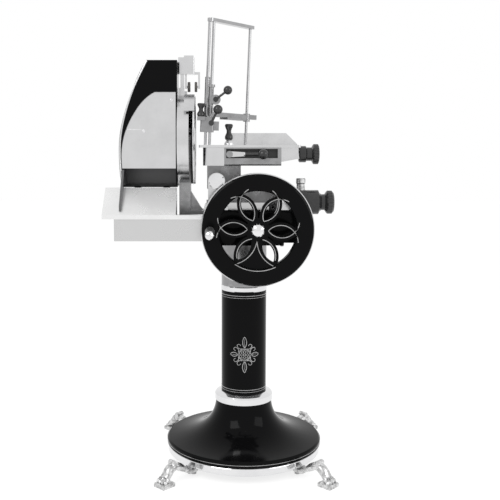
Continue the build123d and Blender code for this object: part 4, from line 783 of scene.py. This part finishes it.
class SLICER_OT_claws(bpy.types.Operator):
    """Curved claws on the toes of the paw feet"""

    bl_idname = "slicer.claws"
    bl_label = "Claws"

    def execute(self, context):
        deselect()
        bpy.ops.mesh.primitive_cone_add(
            vertices=12, radius1=CLAW_ROOT_R, radius2=CLAW_TIP_R, depth=context.scene.slicer_trim.claw_length,
            location=CLAW_PLACE, rotation=(0, math.radians(CLAW_TURN), 0))
        claw = settle(bpy.context.object)
        modify(claw, "BEVEL", width=CLAW_BEVEL, segments=2, limit_method="ANGLE")
        for node, turn in FOOT_TURNS.items():
            piece = joined([copied(claw, (-TOE_SET_BACK * abs(toe), toe * TOE_PITCH, 0)) for toe in TOES])
            piece.rotation_euler = (0, 0, math.radians(turn))
            complete(outward(settle(piece)), node.replace("foot", "claws"), "stand", "Cast Aluminium")
        bpy.data.objects.remove(claw)
        return {"FINISHED"}


class SLICER_OT_stage(bpy.types.Operator):
    """Pale floor, soft studio light and the camera"""

    bl_idname = "slicer.stage"
    bl_label = "Studio"

    def execute(self, context):
        stage = context.scene.slicer_stage
        context.scene.view_settings.view_transform = "Standard"
        self.floor(tuple(stage.floor))
        self.sky(stage.sky)
        for name, power, size, place, target in LAMPS:
            self.lamp(name, getattr(stage, power), size, place, target)
        deselect()
        bpy.ops.object.camera_add(location=CAMERA_PLACE)
        camera = bpy.context.object
        camera.rotation_euler = (math.pi / 2 - stage.pitch, 0, 0)
        camera.data.lens = stage.lens
        camera.data.shift_x, camera.data.shift_y = CAMERA_SHIFT
        context.scene.camera = camera
        return {"FINISHED"}

    @staticmethod
    def lamp(name, power, size, place, target):
        bpy.ops.object.light_add(type="AREA", location=place)
        lamp = bpy.context.object
        lamp.name = name
        lamp.data.energy = power
        lamp.data.size = size
        lamp.rotation_euler = (Vector(target) - Vector(place)).to_track_quat("-Z", "Y").to_euler()

    @staticmethod
    def seen(nodes, links):
        """1 for what is seen directly, in a reflection or through glass."""
        path = nodes.new("ShaderNodeLightPath")
        seen = path.outputs["Is Camera Ray"]
        for ray in ("Is Glossy Ray", "Is Transmission Ray"):
            either = nodes.new("ShaderNodeMath")
            either.operation = "MAXIMUM"
            links.new(seen, either.inputs[0])
            links.new(path.outputs[ray], either.inputs[1])
            seen = either.outputs[0]
        return seen

    def floor(self, tone):
        deselect()
        bpy.ops.mesh.primitive_plane_add(size=FLOOR_SIZE)
        floor = bpy.context.object
        floor.name = "floor"
        material = bpy.data.materials.new("Floor")
        nodes, links = tree_of(material)
        shader = nodes["Principled BSDF"]
        shader.inputs["Base Color"].default_value = (*tone, 1)
        shader.inputs["Roughness"].default_value = 0.9
        shader.inputs["Specular IOR Level"].default_value = 0.0
        glow = nodes.new("ShaderNodeEmission")
        glow.inputs["Color"].default_value = (1, 1, 1, 1)
        glow.inputs["Strength"].default_value = FLOOR_GLOW
        mix = nodes.new("ShaderNodeMixShader")
        share = nodes.new("ShaderNodeMath")
        share.operation = "MULTIPLY"
        share.inputs[1].default_value = FLOOR_GLOW_SHARE
        links.new(self.seen(nodes, links), share.inputs[0])
        links.new(share.outputs[0], mix.inputs[0])
        links.new(shader.outputs[0], mix.inputs[1])
        links.new(glow.outputs[0], mix.inputs[2])
        links.new(mix.outputs[0], nodes["Material Output"].inputs["Surface"])
        floor.data.materials.append(material)

    def sky(self, strength):
        world = bpy.data.worlds.new("Studio")
        bpy.context.scene.world = world
        nodes, links = tree_of(world)
        light = nodes["Background"]
        light.inputs["Color"].default_value = (1, 1, 1, 1)
        light.inputs["Strength"].default_value = strength
        white = nodes.new("ShaderNodeBackground")
        white.inputs["Color"].default_value = (1, 1, 1, 1)
        white.inputs["Strength"].default_value = 1.0
        mix = nodes.new("ShaderNodeMixShader")
        links.new(self.seen(nodes, links), mix.inputs[0])
        links.new(light.outputs[0], mix.inputs[1])
        links.new(white.outputs[0], mix.inputs[2])
        links.new(mix.outputs[0], nodes["World Output"].inputs["Surface"])


class SLICER_PT_panel(bpy.types.Panel):
    """Sidebar panel of the slicer"""

    bl_idname = "SLICER_PT_panel"
    bl_label = "Meat Slicer"
    bl_space_type = "VIEW_3D"
    bl_region_type = "UI"
    bl_category = "Slicer"

    def draw(self, context):
        for title, settings in (
            ("Finishes", context.scene.slicer_finishes),
            ("Trim", context.scene.slicer_trim),
            ("Studio", context.scene.slicer_stage),
        ):
            box = self.layout.box()
            box.label(text=title)
            for key in settings.__annotations__:
                box.prop(settings, key)
        for operator in OPERATORS:
            self.layout.operator(operator.bl_idname)


SETTINGS = {
    "slicer_finishes": SlicerFinishes,
    "slicer_trim": SlicerTrim,
    "slicer_stage": SlicerStage,
}
OPERATORS = (
    SLICER_OT_finishes, SLICER_OT_wheel_stripes, SLICER_OT_column_lines, SLICER_OT_column_ornament,
    SLICER_OT_hood_bead, SLICER_OT_deflector_trim, SLICER_OT_claws, SLICER_OT_stage,
)
CLASSES = (*SETTINGS.values(), *OPERATORS, SLICER_PT_panel)


def register():
    for cls in CLASSES:
        bpy.utils.register_class(cls)
    for name, cls in SETTINGS.items():
        setattr(bpy.types.Scene, name, bpy.props.PointerProperty(type=cls))


def unregister():
    for name in SETTINGS:
        delattr(bpy.types.Scene, name)
    for cls in reversed(CLASSES):
        bpy.utils.unregister_class(cls)


def main():
    register()
    bpy.ops.slicer.finishes()
    bpy.ops.slicer.wheel_stripes()
    bpy.ops.slicer.column_lines()
    bpy.ops.slicer.column_ornament()
    bpy.ops.slicer.hood_bead()
    bpy.ops.slicer.deflector_trim()
    bpy.ops.slicer.claws()
    bpy.ops.slicer.stage()


if __name__ == "__main__":
    main()
